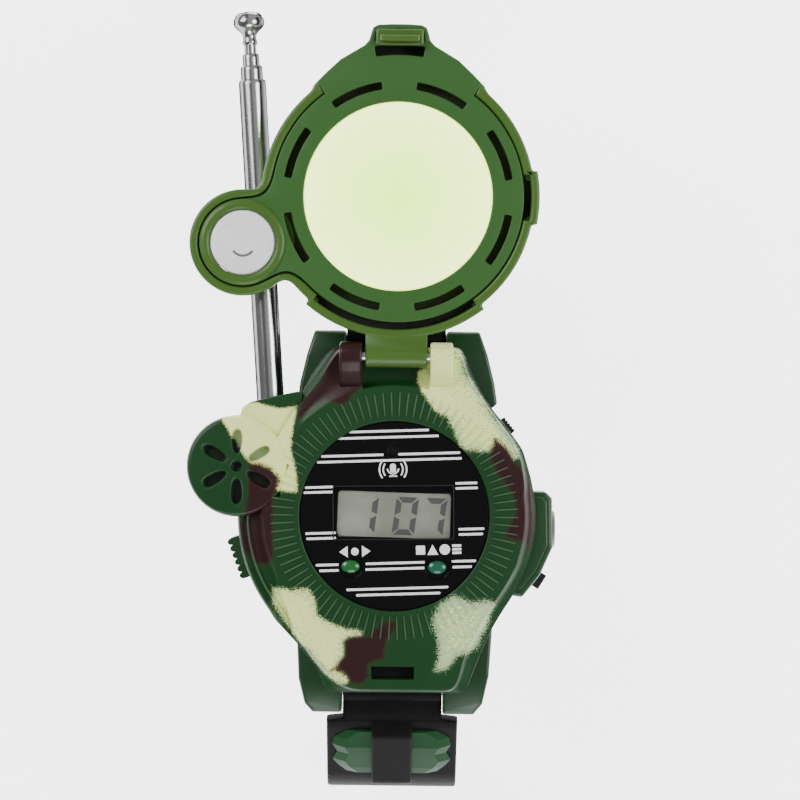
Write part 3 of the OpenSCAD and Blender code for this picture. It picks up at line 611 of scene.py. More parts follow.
@dataclass
class Bench:
    """Turns arrays into finished pieces that ride on the frame's bodies."""

    lean: float = 3.97
    antenna_foot: tuple[float, float, float] = (-26.7, 25.7, 9.0)
    lug: tuple[float, float] = (37.8, 5.0)

    def placed(self, points: Array, place: Place) -> Array:
        """Moves points from a piece's own frame into the watch's, in millimetres."""
        x, y, z = points[..., 0], points[..., 1], points[..., 2]
        if place is Place.ANTENNA:
            c, s = math.cos(math.radians(self.lean)), math.sin(math.radians(self.lean))
            turned = np.stack([x * c - y * s, x * s + y * c, z], axis=-1)
            return turned + np.asarray(self.antenna_foot)
        if place is Place.LOWER_STRAP:
            return np.stack([x, -self.lug[0] - y, z + self.lug[1]], axis=-1)
        if place is Place.UPPER_STRAP:
            return np.stack([x, self.lug[0] + y, z + self.lug[1]], axis=-1)
        return points

    def mesh(self, name: str, points: Array, faces: Array, sharp: float) -> bpy.types.Mesh:
        """A mesh from points and faces: doubled points merged, faces turned outward, shaded.

        Args:
            name: the mesh's name.
            points: one row of x, y and z for each point, in millimetres.
            faces: one row of four point numbers for each face.
            sharp: degrees past which an edge stays sharp.

        Returns:
            The mesh, in metres.
        """
        mesh = bpy.data.meshes.new(name)
        mesh.vertices.add(len(points))
        mesh.vertices.foreach_set("co", (np.asarray(points, np.float32) * MM).ravel())
        mesh.loops.add(faces.size)
        mesh.loops.foreach_set("vertex_index", faces.astype(np.int32).ravel())
        mesh.polygons.add(len(faces))
        mesh.polygons.foreach_set("loop_start", np.arange(len(faces), dtype=np.int32) * faces.shape[1])
        mesh.update(calc_edges=True)
        work = bmesh.new()
        work.from_mesh(mesh)
        bmesh.ops.remove_doubles(work, verts=work.verts, dist=2e-6)
        bmesh.ops.dissolve_degenerate(work, edges=work.edges, dist=1e-7)
        bmesh.ops.recalc_face_normals(work, faces=work.faces)
        work.to_mesh(mesh)
        work.free()
        self.shade(mesh, sharp)
        return mesh

    @staticmethod
    def shade(mesh: bpy.types.Mesh, sharp: float) -> None:
        """Smooth shading, with edges past an angle in degrees left sharp."""
        mesh.polygons.foreach_set("use_smooth", np.ones(len(mesh.polygons), bool))
        mesh.set_sharp_from_angle(angle=math.radians(sharp))

    def settle(self, mesh: bpy.types.Mesh, material: bpy.types.Material, body: str,
               stands_for: Sequence[str] = ()) -> bpy.types.Object:
        """Makes the object, dresses it and fixes it to its body.

        Args:
            mesh: its shape.
            material: its finish.
            body: the body that it rides on.
            stands_for: the CAD nodes that it is drawn in place of.

        Returns:
            The finished piece.
        """
        piece = bpy.data.objects.new(mesh.name, mesh)
        bpy.context.scene.collection.objects.link(piece)
        mesh.materials.append(material)
        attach(piece, body)
        if stands_for:
            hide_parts(*stands_for)
        LOG.info("%s: %d faces on %s", mesh.name, len(mesh.polygons), body)
        return piece

    def grid(self, points: Array, close_rows: bool = True, close_columns: bool = True) -> Array:
        """Faces of a grid of points [rows, columns], joined end to end where asked."""
        rows, columns = points.shape[:2]
        index = np.arange(rows * columns).reshape(rows, columns)
        i = np.arange(rows if close_rows else rows - 1)
        j = np.arange(columns if close_columns else columns - 1)
        a = index[i][:, j]
        b = index[(i + 1) % rows][:, j]
        c = index[(i + 1) % rows][:, (j + 1) % columns]
        d = index[i][:, (j + 1) % columns]
        return np.stack([a, b, c, d], axis=-1).reshape(-1, 4)

    def surface(self, name: str, points: Array, material: bpy.types.Material, body: str,
                stands_for: Sequence[str] = (), place: Place = Place.WATCH, sharp: float = 35.0,
                close_rows: bool = True, close_columns: bool = True) -> bpy.types.Object:
        """A piece from a grid of points.

        Args:
            name: the piece's name.
            points: the grid, [rows, columns, 3], in millimetres.
            material: its finish.
            body: the body that it rides on.
            stands_for: the CAD nodes that it is drawn in place of.
            place: the frame that the points are given in.
            sharp: degrees past which an edge stays sharp.
            close_rows: whether the last row joins the first.
            close_columns: whether the last column joins the first.

        Returns:
            The finished piece.
        """
        faces = self.grid(points, close_rows, close_columns)
        flat = self.placed(points.reshape(-1, 3), place)
        mesh = self.mesh(name, flat, faces, sharp)
        return self.settle(mesh, material, body, stands_for)

    def turned(self, name: str, profile: Sequence[Sequence[float]], material: bpy.types.Material,
               body: str, slot: str, stands_for: Sequence[str] = (), at: Sequence[float] = (0, 0, 0),
               axis: str = "z", round_by: float = 0.0, segments: int = 96,
               place: Place = Place.WATCH) -> bpy.types.Object:
        """A turned piece: a closed outline of (radius, height) carried round an axis."""
        outline = np.asarray(profile, float)
        if round_by:
            outline = rounded_corners(outline, round_by, 5)
            outline[:, 0] = np.maximum(outline[:, 0], 0)
        angles = np.linspace(0, 2 * np.pi, segments, endpoint=False)
        r, h = outline[:, 0][:, None], outline[:, 1][:, None]
        a, b, c = r * np.cos(angles), r * np.sin(angles), h + 0 * angles
        order = {"z": (a, b, c), "y": (b, c, a), "x": (c, a, b)}[axis]
        points = np.stack(order, axis=-1) + np.asarray(at, float)
        return self.surface(name, points, material, body, stands_for, place)

    def flat_mesh(self, name: str, loops: Sequence[Array], low: float, high: float,
                  edge: float = 0.0, sharp: float = 35.0) -> bpy.types.Mesh:
        """A plate of any outline with holes: a filled flat curve given thickness and round edges.

        Args:
            name: the mesh's name.
            loops: the outline and its holes, in millimetres.
            low: height of the underside.
            high: height of the top.
            edge: radius of its round edges.
            sharp: degrees past which an edge stays sharp.

        Returns:
            The mesh, in metres.
        """
        curve = bpy.data.curves.new(name, "CURVE")
        curve.dimensions = "2D"
        curve.fill_mode = "BOTH"
        curve.extrude = (high - low) / 2 * MM - edge * MM
        curve.bevel_depth = edge * MM
        curve.bevel_resolution = 3
        curve.offset = -edge * MM
        for loop in loops:
            spline = curve.splines.new("POLY")
            spline.points.add(len(loop) - 1)
            flat = np.zeros((len(loop), 4), np.float32)
            flat[:, :2] = np.asarray(loop) * MM
            flat[:, 3] = 1
            spline.points.foreach_set("co", flat.ravel())
            spline.use_cyclic_u = True
        holder = bpy.data.objects.new(name, curve)
        bpy.context.scene.collection.objects.link(holder)
        bpy.context.view_layer.update()
        graph = bpy.context.evaluated_depsgraph_get()
        mesh = bpy.data.meshes.new_from_object(holder.evaluated_get(graph))
        bpy.data.objects.remove(holder)
        bpy.data.curves.remove(curve)
        mesh.name = name
        co = np.zeros(len(mesh.vertices) * 3, np.float32)
        mesh.vertices.foreach_get("co", co)
        co[2::3] += (low + high) / 2 * MM
        mesh.vertices.foreach_set("co", co)
        work = bmesh.new()
        work.from_mesh(mesh)
        bmesh.ops.remove_doubles(work, verts=work.verts, dist=1e-6)
        bmesh.ops.recalc_face_normals(work, faces=work.faces)
        work.to_mesh(mesh)
        work.free()
        mesh.materials.clear()
        self.shade(mesh, sharp)
        return mesh

    def plate(self, name: str, loops: Sequence[Array], low: float, high: float,
              material: bpy.types.Material, body: str, slot: str, stands_for: Sequence[str] = (),
              edge: float = 0.0) -> bpy.types.Object:
        """A flat plate piece, as flat_mesh makes it."""
        mesh = self.flat_mesh(name, loops, low, high, edge)
        return self.settle(mesh, material, body, stands_for)

    def moved(self, piece: bpy.types.Object, change: Callable[[Array], Array]) -> None:
        """Passes a piece's points, in millimetres, through a function."""
        co = np.zeros(len(piece.data.vertices) * 3, np.float32)
        piece.data.vertices.foreach_get("co", co)
        new = change(co.reshape(-1, 3).astype(float) / MM) * MM
        piece.data.vertices.foreach_set("co", new.astype(np.float32).ravel())
        piece.data.update()

    def mark(self, piece: bpy.types.Object, **numbers: Callable[[Array, Array], Array]) -> None:
        """Stores numbers worked out from each point's x and y, in millimetres, on the mesh."""
        co = np.zeros(len(piece.data.vertices) * 3, np.float32)
        piece.data.vertices.foreach_get("co", co)
        points = co.reshape(-1, 3) / MM
        for name, rule in numbers.items():
            kept = piece.data.attributes.new(name, "FLOAT", "POINT")
            kept.data.foreach_set("value", rule(points[:, 0], points[:, 1]).astype(np.float32))


# ---- The case -------------------------------------------------------------------------------


@dataclass
class Camouflage:
    """The stencil: outlines of the sprayed patches, in millimetres from the dial's centre."""

    brown: tuple = (
        ((-13.0, 37.5), (-6.8, 37.5), (-6.8, 27.5), (-7.6, 26.6), (-9.1, 25.4), (-9.9, 23.9), (-11.4, 23.0),
         (-13.2, 23.7), (-15.2, 24.2), (-17.0, 23.0), (-18.7, 21.5), (-20.2, 20.0), (-20.7, 20.8),
         (-19.9, 24.1), (-16.5, 27.7), (-13.6, 33.5)),
        ((-30.7, 10.9), (-28.4, 10.9), (-26.2, 9.9), (-24.4, 8.1), (-24.0, 7.0), (-24.8, 5.2), (-25.4, 3.5),
         (-25.3, -4.0), (-25.2, -8.5), (-26.2, -10.8), (-29.0, -10.6), (-33.5, -6.0), (-33.5, -2.5),
         (-32.0, -1.3), (-31.2, 1.9), (-30.8, 6.4)),
        ((20.9, 16.8), (23.2, 15.0), (25.0, 12.0), (26.5, 10.6), (28.4, 8.0), (29.5, 4.8), (29.8, -3.2),
         (28.6, -7.4), (27.6, -6.1), (26.6, -5.2), (23.1, -4.3), (24.0, -1.7), (25.6, 1.2), (24.6, 5.1),
         (23.3, 6.7), (21.0, 9.8), (19.7, 12.7), (20.3, 15.3)),
        ((-10.2, -26.3), (-8.6, -25.6), (-4.8, -25.1), (-3.7, -23.4), (-2.2, -22.1), (-0.3, -21.7),
         (1.0, -22.1),
         (0.8, -24.0), (-0.9, -25.1), (-1.5, -27.5), (-1.7, -30.1), (-4.3, -30.7), (-5.1, -31.4),
         (-5.1, -34.2),
         (-6.4, -35.3), (-8.5, -35.4), (-9.4, -34.0), (-10.7, -33.2), (-13.0, -32.7), (-11.5, -30.8),
         (-10.1, -29.5)))
    cream: tuple = (
        ((-36.4, 19.9), (-33.5, 22.6), (-30.0, 23.5), (-27.6, 23.1), (-24.9, 22.2), (-22.6, 22.5),
         (-20.9, 22.9),
         (-21.3, 19.5), (-21.9, 16.0), (-21.6, 12.3), (-20.6, 8.0), (-20.5, 4.9), (-24.4, 5.1),
         (-27.0, 7.0),
         (-30.7, 11.3), (-32.2, 13.3), (-34.3, 16.3)),
        ((6.6, 37.5), (12.2, 37.5), (14.0, 35.2), (14.3, 30.2), (15.3, 28.7), (17.0, 26.5), (20.2, 21.7),
         (23.5, 17.4), (25.8, 14.4), (25.9, 12.9), (24.9, 11.9), (23.2, 14.0), (20.0, 13.7), (18.4, 13.8),
         (14.8, 14.1), (13.9, 14.9), (13.2, 16.2), (12.2, 18.7), (10.6, 21.0), (8.0, 22.5), (6.4, 25.1),
         (5.5, 26.1), (4.6, 28.3), (4.7, 30.3), (6.6, 31.0)),
        ((-25.3, -15.3), (-21.2, -15.7), (-18.2, -15.5), (-17.1, -16.5), (-16.4, -18.0), (-16.0, -20.6),
         (-14.2, -22.1), (-12.1, -23.1), (-9.5, -23.9), (-6.3, -24.2), (-6.7, -25.2), (-9.5, -25.4),
         (-10.3, -26.5), (-10.1, -29.1), (-11.0, -31.0), (-10.0, -32.0), (-9.2, -34.5), (-9.9, -35.2),
         (-11.0, -35.3), (-12.4, -34.6), (-14.3, -32.6), (-17.8, -28.3), (-20.5, -25.5), (-23.0, -22.3),
         (-25.2, -19.0)),
        ((12.6, -16.6), (14.5, -17.1), (15.9, -17.9), (17.4, -17.9), (19.4, -17.6), (21.1, -18.2),
         (20.2, -20.6),
         (19.5, -23.3), (18.4, -25.2), (17.5, -27.4), (15.4, -28.6), (13.5, -29.1), (12.3, -30.9),
         (11.1, -32.0), (9.1, -32.4), (9.6, -29.8), (9.6, -26.0), (8.9, -24.1), (8.0, -21.9), (8.9, -20.4),
         (9.9, -18.5)))

    @staticmethod
    def nearest(x: Array, y: Array, patches: tuple) -> Array:
        """Distance to the nearest of some patches, below 0 inside one."""
        return np.min([polygon_field(x, y, patch) for patch in patches], axis=0)

    @staticmethod
    def thinness(x: Array, y: Array) -> Array:
        """How thinly the cream lies, from 0 to 1: thickest on the speaker, thinnest low right."""
        low = smooth(y, -2, -10)
        upper = 0.10 + 0.42 * smooth(x, 2, 14) + 0.35 * smooth(x + 0.6 * y, 31, 35)
        lower = 0.45 + 0.45 * smooth(x, -6, 8)
        return upper * (1 - low) + lower * low

    def spray(self, bench: Bench, pieces: Sequence[bpy.types.Object]) -> None:
        """Stores the patches on pieces, for the paint to read."""
        for piece in pieces:
            bench.mark(piece, brown=lambda x, y: self.nearest(x, y, self.brown),
                       cream=lambda x, y: self.nearest(x, y, self.cream), thin=self.thinness)


@dataclass
class FrontShell:
    """The camouflaged front shell: ribbed face, speaker disc, antenna block and hinge ears."""

    wing_r: float = 33.0
    seam_z: float = 9.05
    face_z: float = 16.95
    floor_z: float = 14.2
    boss_at: tuple[float, float] = (-33.2, 10.1)
    boss_z: float = 17.0
    slot_at: tuple[float, float] = (0.0, -32.85)
    slot_half: tuple[float, float] = (4.5, 1.2)
    ribs: int = 90
    ridges_r: tuple[float, float] = (30.92, 32.69)
    ridge_width: float = 0.2
    torch_turn: float = 332.0
    torch_tuck: float = 0.9

    def face(self, x: Array, y: Array) -> Array:
        """Signed distance to the flat face: a disc, two wings that carry the ears, a broad foot."""
        left = polygon_field(x, y, ((-9.5, 22), (-9.5, 35), (-12.4, 34.6), (-16.0, 28.6), (-19.6, 23.8),
                                    (-21.0, 22.2), (-24.4, 16.8), (-27.4, 10), (-27.9, 0), (-20, 0)))
        right = polygon_field(x, y, ((9.5, 22), (9.5, 35.1), (13.6, 35.0), (14.4, 30.4), (17.4, 25.6),
                                     (20.6, 21.2), (23.9, 17), (26.4, 12.4), (27.4, 6), (20, 0)))
        foot = polygon_field(x, y, ((26.0, -9.3), (20.9, -18.2), (15.2, -28.5), (13.7, -34.6),
                                    (13.3, -36.6),
                                    (-8.0, -36.6), (-10.3, -35.8), (-12.2, -34.5), (-14.3, -32.6),
                                    (-17.8, -28.3), (-20.8, -23.6), (-24.5, -14.0), (-20, 0), (20, 0)))
        disc = circle_field(x, y, (0, 0), 27.5)
        return blend_fields(blend_fields(disc, np.minimum(left, right), 0.6), foot, 0.6)

    def outline(self, x: Array, y: Array) -> Array:
        """Signed distance to the shell's outer edge."""
        upper = polygon_field(x, y, ((-24.9, 16.2), (-20.4, 23.4), (-16.8, 30.4), (-13.4, 34.9),
                                     (13.6, 35.2),
                                     (15.2, 30.6), (18.4, 24.6), (22.6, 19.2), (26.6, 14), (28, 8),
                                     (-27, 8)))
        foot = polygon_field(x, y, ((-26, -12), (-25.2, -21.4), (-19.8, -27.1), (-15.4, -32.4),
                                    (-13.6, -37.0),
                                    (15.2, -36.9), (16.5, -33), (19.8, -24.8), (25.2, -15.4)))
        case = blend_fields(circle_field(x, y, (0, 0), 29.8), upper - 0.4, 0.8)
        case = blend_fields(case, foot - 0.3, 1.0)
        angle = np.degrees(np.arctan2(y, x)) % 360
        wing = np.maximum(circle_field(x, y, (0, 0), self.wing_r),
                          np.maximum(168 - angle, angle - 232) * 0.3)
        return np.minimum(case, wing)

    def build(self, bench: Bench, palette: Palette) -> None:
        """Makes every piece that stands for the front shell."""
        pieces = [self.top(bench, palette), self.speaker(bench, palette), self.block(bench, palette)]
        pieces += [self.ear(bench, palette, side) for side in (-1, 1)]
        Camouflage().spray(bench, pieces)

    def columns(self) -> Array:
        """Angles of the columns: close together at each rib and across the latch slot."""
        pitch = 2 * np.pi / self.ribs
        inside = np.array([-0.5, -0.3, -0.15, -0.105, -0.06, 0.0, 0.06, 0.105, 0.15, 0.3])
        angles = (np.arange(self.ribs)[:, None] + inside).ravel() * pitch
        fine = np.radians(np.arange(260.8, 279.4, 0.35))
        return np.unique(np.round(np.concatenate([angles % (2 * np.pi), fine]), 5))

    def top(self, bench: Bench, palette: Palette) -> bpy.types.Object:
        """The ribbed face and its edges, as one surface round the dial.

        Rows run out along each angle: up the dial's wall, over the ribs, across the face to its
        edge, down a hollow chamfer, over the outer band and down the wall. Each rib adds a
        narrow rounded pulse of the angle.
        """
        a = self.columns()
        edge = eased(a, reach_of(self.face, a, 24.0, 44.0), 5.0, 74)
        outer = eased(a, reach_of(self.outline, a, 24.0, 48.0), 4.0, 74)
        edge = np.minimum(edge, outer - 0.5)
        degrees = np.degrees(a)
        wing = smooth(degrees, 170, 178) * (1 - smooth(degrees, 222, 231))
        between = (np.abs(degrees - 90) < 15.1).astype(float)
        foot = np.minimum(outer - 0.3, edge + 3.2)
        foot = foot * (1 - wing) + np.minimum(30.4, outer - 0.3) * wing
        foot = np.where(between > 0, 28.7, foot)
        pulse = 1 - smooth(np.abs((a * self.ribs / (2 * np.pi) + 0.5) % 1 - 0.5), 0.05, 0.115)
        rows = [(17.6, 14.3), (17.6, 15.2), (19.95, 15.2), (19.95, 16.6), (20.05, 16.85), (20.3, 16.95),
                (20.62, 16.95)]
        sheet = [np.stack([r + 0 * a, z + 0 * a]) for r, z in rows]
        for r, share in ((20.85, 0.0), (21.05, 1.0), (22.6, 1.0), (24.4, 1.0), (25.9, 1.0), (26.15, 0.0)):
            sheet.append(np.stack([r + 0 * a, self.plain(r) + 0.3 * share * pulse]))
        t = np.linspace(0, 1, 30)[1:]
        run = 26.4 + (edge - 0.16 - 26.4) * t[:, None]
        for r in run:
            dip = 0.55 * smooth(degrees, 104, 112) * smooth(140, degrees, degrees + 12)
            hollow = dip * np.sin(np.pi * np.clip((r - 27.5) / np.maximum(edge - 27.5, 1), 0, 1))
            sheet.append(np.stack([r, self.plain(r) - np.where(edge > 29, hollow, 0)]))
        low = self.floor_z + 0.35 + 0 * a
        lip = self.plain(edge)
        for share, drop in ((0.0, 0.05), (0.05, 0.14), (0.12, 0.28), (0.4, 0.66), (0.75, 0.92), (1.0, 1.0)):
            sheet.append(np.stack([edge + (foot - edge) * share, lip + (low - lip) * drop]))
        band = ((0.05, 0.1, -0.1), (0.13, 0.75, -0.12), (0.2, 0.9, -0.13), (0.28, 0.75, -0.14),
                (0.4, 0.05, -0.15),
                (0.6, -0.1, -0.15), (0.72, 0.1, -0.16), (0.81, 0.8, -0.18), (0.88, 0.92, -0.2),
                (0.95, 0.75, -0.3),
                (1.0, 0.2, -0.5))
        for share, raised, plain in band:
            z = low + raised * wing + plain * (1 - wing)
            sheet.append(np.stack([foot + (outer - foot) * share, z]))
        tuck = self.torch_tuck * np.exp(-((degrees - self.torch_turn) / 5) ** 2)
        for inset, z in ((0.0, 12.6), (0.0, 11.3), (0.0, self.seam_z + 0.25), (0.25, self.seam_z),
                         (1.6, self.seam_z), (1.8, 12.2)):
            sheet.append(np.stack([outer - inset - tuck * (z < 12.5), z + 0 * a]))
        sheet.append(np.stack([20.0 + 0 * a, 12.4 + 0 * a]))
        sheet.append(np.stack([18.0 + 0 * a, 13.9 + 0 * a]))
        sheet = np.array(sheet)
        x, y, z = sheet[:, 0] * np.cos(a), sheet[:, 0] * np.sin(a), sheet[:, 1]
        x, y, z = self.sink_slot(x, y, z)
        under = (circle_field(x, y, self.boss_at, 9.7) < 0) & (z > 13)
        z = np.where(under, 12.6, z)
        piece = bench.surface("front_face", np.stack([x, y, z], axis=-1), palette.camo, "case",
                              ["front_shell"], sharp=28)
        # The rib tops and the wing's ridges are marked for a painted highlight with some wear, and the latch
        # slot for painted shade.
        bench.mark(piece, rib=self.rib_highlight_and_wear_mask, pit=self.slot_shade_mask)
        return piece

    def rib_highlight_and_wear_mask(self, x: Array, y: Array) -> Array:
        """Where a painted highlight with some wear lies: 1 along the top of each rib and of the left wing's
        two ridges, and 0 elsewhere.
        """
        r = np.hypot(x, y)
        angle = np.arctan2(y, x)
        crest_highlight_and_wear = 1 - smooth(np.abs((angle * self.ribs / (2 * np.pi) + 0.5) % 1 - 0.5), 0.03, 0.12)
        degrees = np.degrees(angle) % 360
        wing = smooth(degrees, 174, 180) * (1 - smooth(degrees, 220, 228))
        ridges = sum(np.exp(-((r - at) / self.ridge_width) ** 2) for at in self.ridges_r)
        return crest_highlight_and_wear * smooth(r, 20.8, 21.2) * (1 - smooth(r, 25.8, 26.2)) + ridges * wing * 1.2

    def slot_shade_mask(self, x: Array, y: Array) -> Array:
        """1 inside the latch slot, where the paint is darkened as painted shade."""
        return (box_field(x, y, self.slot_at, self.slot_half, 0.3) < -0.01).astype(float)

    def plain(self, r: Array | float) -> Array | float:
        """Height of the face without its ribs: it falls gently away from the dial."""
        return self.face_z - 0.055 * (r - 20.0)

    def sink_slot(self, x: Array, y: Array, z: Array) -> tuple[Array, Array, Array]:
        """Sinks the latch slot: points near its outline are drawn onto it, those inside go down."""
        at, half = self.slot_at, self.slot_half
        top = z > 15
        d = box_field(x, y, at, half, 0.3)
        h = 1e-3
        gx = (box_field(x + h, y, at, half, 0.3) - d) / h
        gy = (box_field(x, y + h, at, half, 0.3) - d) / h
        near = (np.abs(d) < 0.21) & top
        goal = np.where(d < 0, -0.03, 0.0)
        x = np.where(near, x + gx * (goal - d), x)
        y = np.where(near, y + gy * (goal - d), y)
        return x, y, np.where((d < 0) & top, 12.45, z)

    def petals(self, x: Array, y: Array) -> Array:
        """Signed distance to the speaker's holes: one round, and six long petals on spokes."""
        dx, dy = x - self.boss_at[0], y - self.boss_at[1]
        d = np.hypot(dx, dy) - 1.05
        for k in range(6):
            a = math.radians(30 + 60 * k)
            u = dx * math.cos(a) + dy * math.sin(a)
            v = -dx * math.sin(a) + dy * math.cos(a)
            width = 1.08 + 0.05 * (u - 5.3)
            leaf = (np.abs((u - 5.3) / 2.6) ** 2.5 + np.abs(v / width) ** 2.2) ** 0.45 - 1
            d = np.minimum(d, leaf * 1.15)
        return d

    def speaker(self, bench: Bench, palette: Palette) -> bpy.types.Object:
        """The speaker disc: low dome, petals sunk into it with a raised lip, and a rolled rim."""
        turn = np.linspace(0, 2 * np.pi, 540, endpoint=False)
        r = np.concatenate([[0.001], np.linspace(0.12, 8.7, 84), np.linspace(8.9, 9.7, 5)])[:, None]
        x = self.boss_at[0] + r * np.cos(turn)
        y = self.boss_at[1] + r * np.sin(turn)
        d = self.petals(x, y)
        dome = self.boss_z + 0.22 - 0.25 * (r / 9.7) ** 2
        lip = 0.09 * np.exp(-((d - 0.16) / 0.12) ** 2)
        z = dome + lip - 1.5 * (1 - smooth(d, -0.12, 0.03))
        rim = ((10.05, -0.14), (10.35, -0.4), (10.52, -0.8), (10.6, -1.3), (10.6, -2.0), (10.45, -2.1),
               (10.45, -2.3), (10.68, -2.4), (10.7, -7.9), (0.001, -7.9))
        rows = [np.stack([self.boss_at[0] + q * np.cos(turn), self.boss_at[1] + q * np.sin(turn),
                          0 * turn + self.boss_z + h], axis=-1)[None] for q, h in rim]
        points = np.concatenate([np.stack([x, y, z], axis=-1), *rows])
        piece = bench.surface("speaker_disc", points, palette.camo, "case",
                              ["front_shell"], sharp=50)
        # The petal holes are marked to be darkened as painted shade.
        bench.mark(piece, pit=lambda px, py: 1 - smooth(self.petals(px, py), -0.25, -0.02))
        return piece

    def block(self, bench: Bench, palette: Palette) -> bpy.types.Object:
        """The antenna block: a lower plate that the antenna comes out of."""
        corners = ((-19.5, 26.3), (-30.4, 23.7), (-32.3, 22.5), (-32.8, 20.6), (-32, 14), (-26, 8),
                   (-20, 14))
        outline = rounded_corners(corners, 1.4, 6)
        outline = evenly(outline, 220)
        middle = np.array([-26.4, 17.4])
        rows = [(t, 15.4) for t in np.linspace(0.002, 0.95, 44)]
        rows += [(0.97, 15.37), (0.985, 15.28), (0.995, 15.1), (1.0, 14.85), (1.0, self.seam_z),
                 (0.002, self.seam_z)]
        points = [np.column_stack([middle + (outline - middle) * t, np.full(len(outline), z)]) for t,
                  z in rows]
        return bench.surface("antenna_block", np.array(points), palette.camo, "case",
                             ["front_shell"], sharp=50)

    def ear(self, bench: Bench, palette: Palette, side: int) -> bpy.types.Object:
        """One hinge ear: a rounded side outline given width, with rounded side edges."""
        outline = rounded_corners(((26.6, 15.2), (27.6, 17.3), (30.3, 19.7), (32.4, 20.9),
                                   (35.0, 20.9), (36.5, 19.4), (36.5, 14.2)), 3.0, 12)
        middle = outline.mean(axis=0)
        rows = []
        for u, inset in ((7.15, 0.5), (7.22, 0.22), (7.4, 0.06), (7.7, 0.0), (11.3, 0.0), (11.6, 0.06),
                         (11.78, 0.22), (11.85, 0.5)):
            direction = outline - middle
            length = np.linalg.norm(direction, axis=1, keepdims=True)
            loop = outline - direction / length * inset
            rows.append(np.column_stack([np.full(len(loop), side * u), loop]))
        rows.insert(0, np.tile([side * 7.15, *middle], (len(outline), 1)))
        rows.append(np.tile([side * 11.85, *middle], (len(outline), 1)))
        name = "hinge_ear_left" if side < 0 else "hinge_ear_right"
        return bench.surface(name, np.array(rows), palette.camo, "case", ["front_shell"],
                             close_rows=False)


@dataclass
class BackShell:
    """The rear of the case and the torch housing, with their moulded edges."""

    end_wall: float = 35.2
    gap_half: float = 10.7
    seam_z: float = 8.98
    boss_at: tuple[float, float] = (-33.2, 10.1)
    screws: tuple = ((-15.4, 30.8), (14.0, 30.8), (-15.4, -31.0), (14.6, -31.0))

    def build(self, bench: Bench, palette: Palette) -> None:
        """Makes the back's wall, plate, lugs and side bosses, and the torch housing."""
        self.lugs(bench, palette)
        wall = ((27.0, 0.0), (28.0, 0.12), (28.9, 0.6), (29.4, 1.4), (29.6, 2.4), (29.6, self.seam_z),
                (27.9, self.seam_z), (27.9, 2.2), (27.0, 1.9))
        bench.turned("back_wall", wall, palette.case, "case", "case_green", ["back_shell"], segments=240)
        door = oval_points((22.85, 8.2), (2.3, -4.0), 0.6)
        bench.plate("back_plate", [circle_points(27.2, count=160), door], 0.0, 2.0, palette.case,
                    "case", "case_green", edge=0.15)
        bay = oval_points((18.7, 6.6), (0, -4.0), 0.4)
        bench.plate("bay_rim", [oval_points((23.2, 8.6), (2.3, -4.0), 0.6), bay], 1.3, 6.0, palette.case,
                    "case", "case_green")
        boss = ((0, 1.9), (8.8, 1.9), (9.9, 2.2), (10.5, 3.0), (10.7, 4.0), (10.7, self.seam_z),
                (0, self.seam_z))
        bench.turned("boss_back", boss, palette.case, "case", "case_green", at=(*self.boss_at, 0),
                     segments=120)
        corners = ((-19.5, 26.3), (-30.4, 23.7), (-32.3, 22.5), (-32.8, 20.6), (-32, 14), (-26, 8),
                   (-20, 14))
        bench.plate("block_back", [rounded_corners(corners, 1.4, 6)], 2.0, self.seam_z, palette.case,
                    "case",
                    "case_green", edge=0.8)
        wing = np.concatenate([circle_points(33.0, count=80, start=171, sweep=62), [(-14, -12), (-20, 2)]])
        bench.plate("wing_back", [rounded_corners(wing, 0.8, 4)], 2.0, self.seam_z, palette.case, "case",
                    "case_green", edge=0.9)
        torch = rounded_corners(((25.6, 5.5), (31.9, 5.4), (33.3, 4), (33.5, -6.4), (30.9, -12.3),
                                 (27.2, -17),
                                 (24.4, -16.6), (22, -12)), 0.9, 5)
        bench.plate("torch_body", [torch], 3.1, 12.9, palette.case, "case", "case_green", ["torch_housing"],
                    0.8)
        bezel = ((3.25, 31.8), (3.25, 34.05), (3.6, 34.05), (3.95, 33.7), (4.0, 31.8))
        bench.turned("lens_bezel", bezel, palette.grey, "case", "case_green", at=(0, -2.7, 8.0), axis="x",
                     round_by=0.12, segments=64)
        inner = rounded_corners(((26, 4.3), (31.2, 4.3), (32.2, 3.2), (32.4, -6.0), (29.9, -11.4),
                                 (26.8, -15.4),
                                 (23, -12)), 0.7, 5)
        bench.plate("torch_rib", [inner], 12.4, 13.3, palette.case, "case", "case_green", (), 0.35)

    def lugs(self, bench: Bench, palette: Palette) -> None:
        """The strap lugs at both ends, notched for the strap and lowered towards their tips."""
        gap, wall = self.gap_half, self.end_wall
        top = ((-21.2, 21), (-20.4, 28), (-19, 34), (-17.4, 39.1), (-gap, 39.1), (-gap, wall), (gap, wall),
               (gap, 39.1), (17.7, 39.1), (19.5, 34), (21, 28), (21.6, 23.9), (21.2, 23.4), (18.4, 21.4),
               (12, 24), (-12, 24))
        low = ((-21.8, -22), (-20.4, -27), (-20.0, -35), (-18.7, -40.4), (-17, -42.3), (-gap, -42.3),
               (-gap, -wall), (gap, -wall), (gap, -42.5), (17.3, -42.5), (19.2, -40.2), (20.5, -34),
               (21.2, -22), (12, -24), (-12, -24))
        for name, corners, screws in (("upper_lugs", top, self.screws[:2]),
                                      ("lower_lugs", low, self.screws[2:])):
            outline = rounded_corners(corners, 0.7, 5)
            wells = [circle_points(2.3, at, 40) for at in screws]
            above = bench.plate(name, [outline], 3.0, self.seam_z, palette.case, "case", "case_green", (),
                                0.7)
            below = bench.plate(f"{name}_base", [outline, *wells], 1.0, 3.8, palette.case, "case",
                                "case_green", (), 0.5)
            for piece in (above, below):
                bench.moved(piece, self.crown)

    @staticmethod
    def crown(points: Array) -> Array:
        """Lowers the lugs towards their ends, and lifts their undersides."""
        out = np.abs(points[:, 1])
        up = points[:, 2] > 5
        points[:, 2] -= np.where(up, 1.9, -1.9) * smooth(out, 36, 43)
        return points


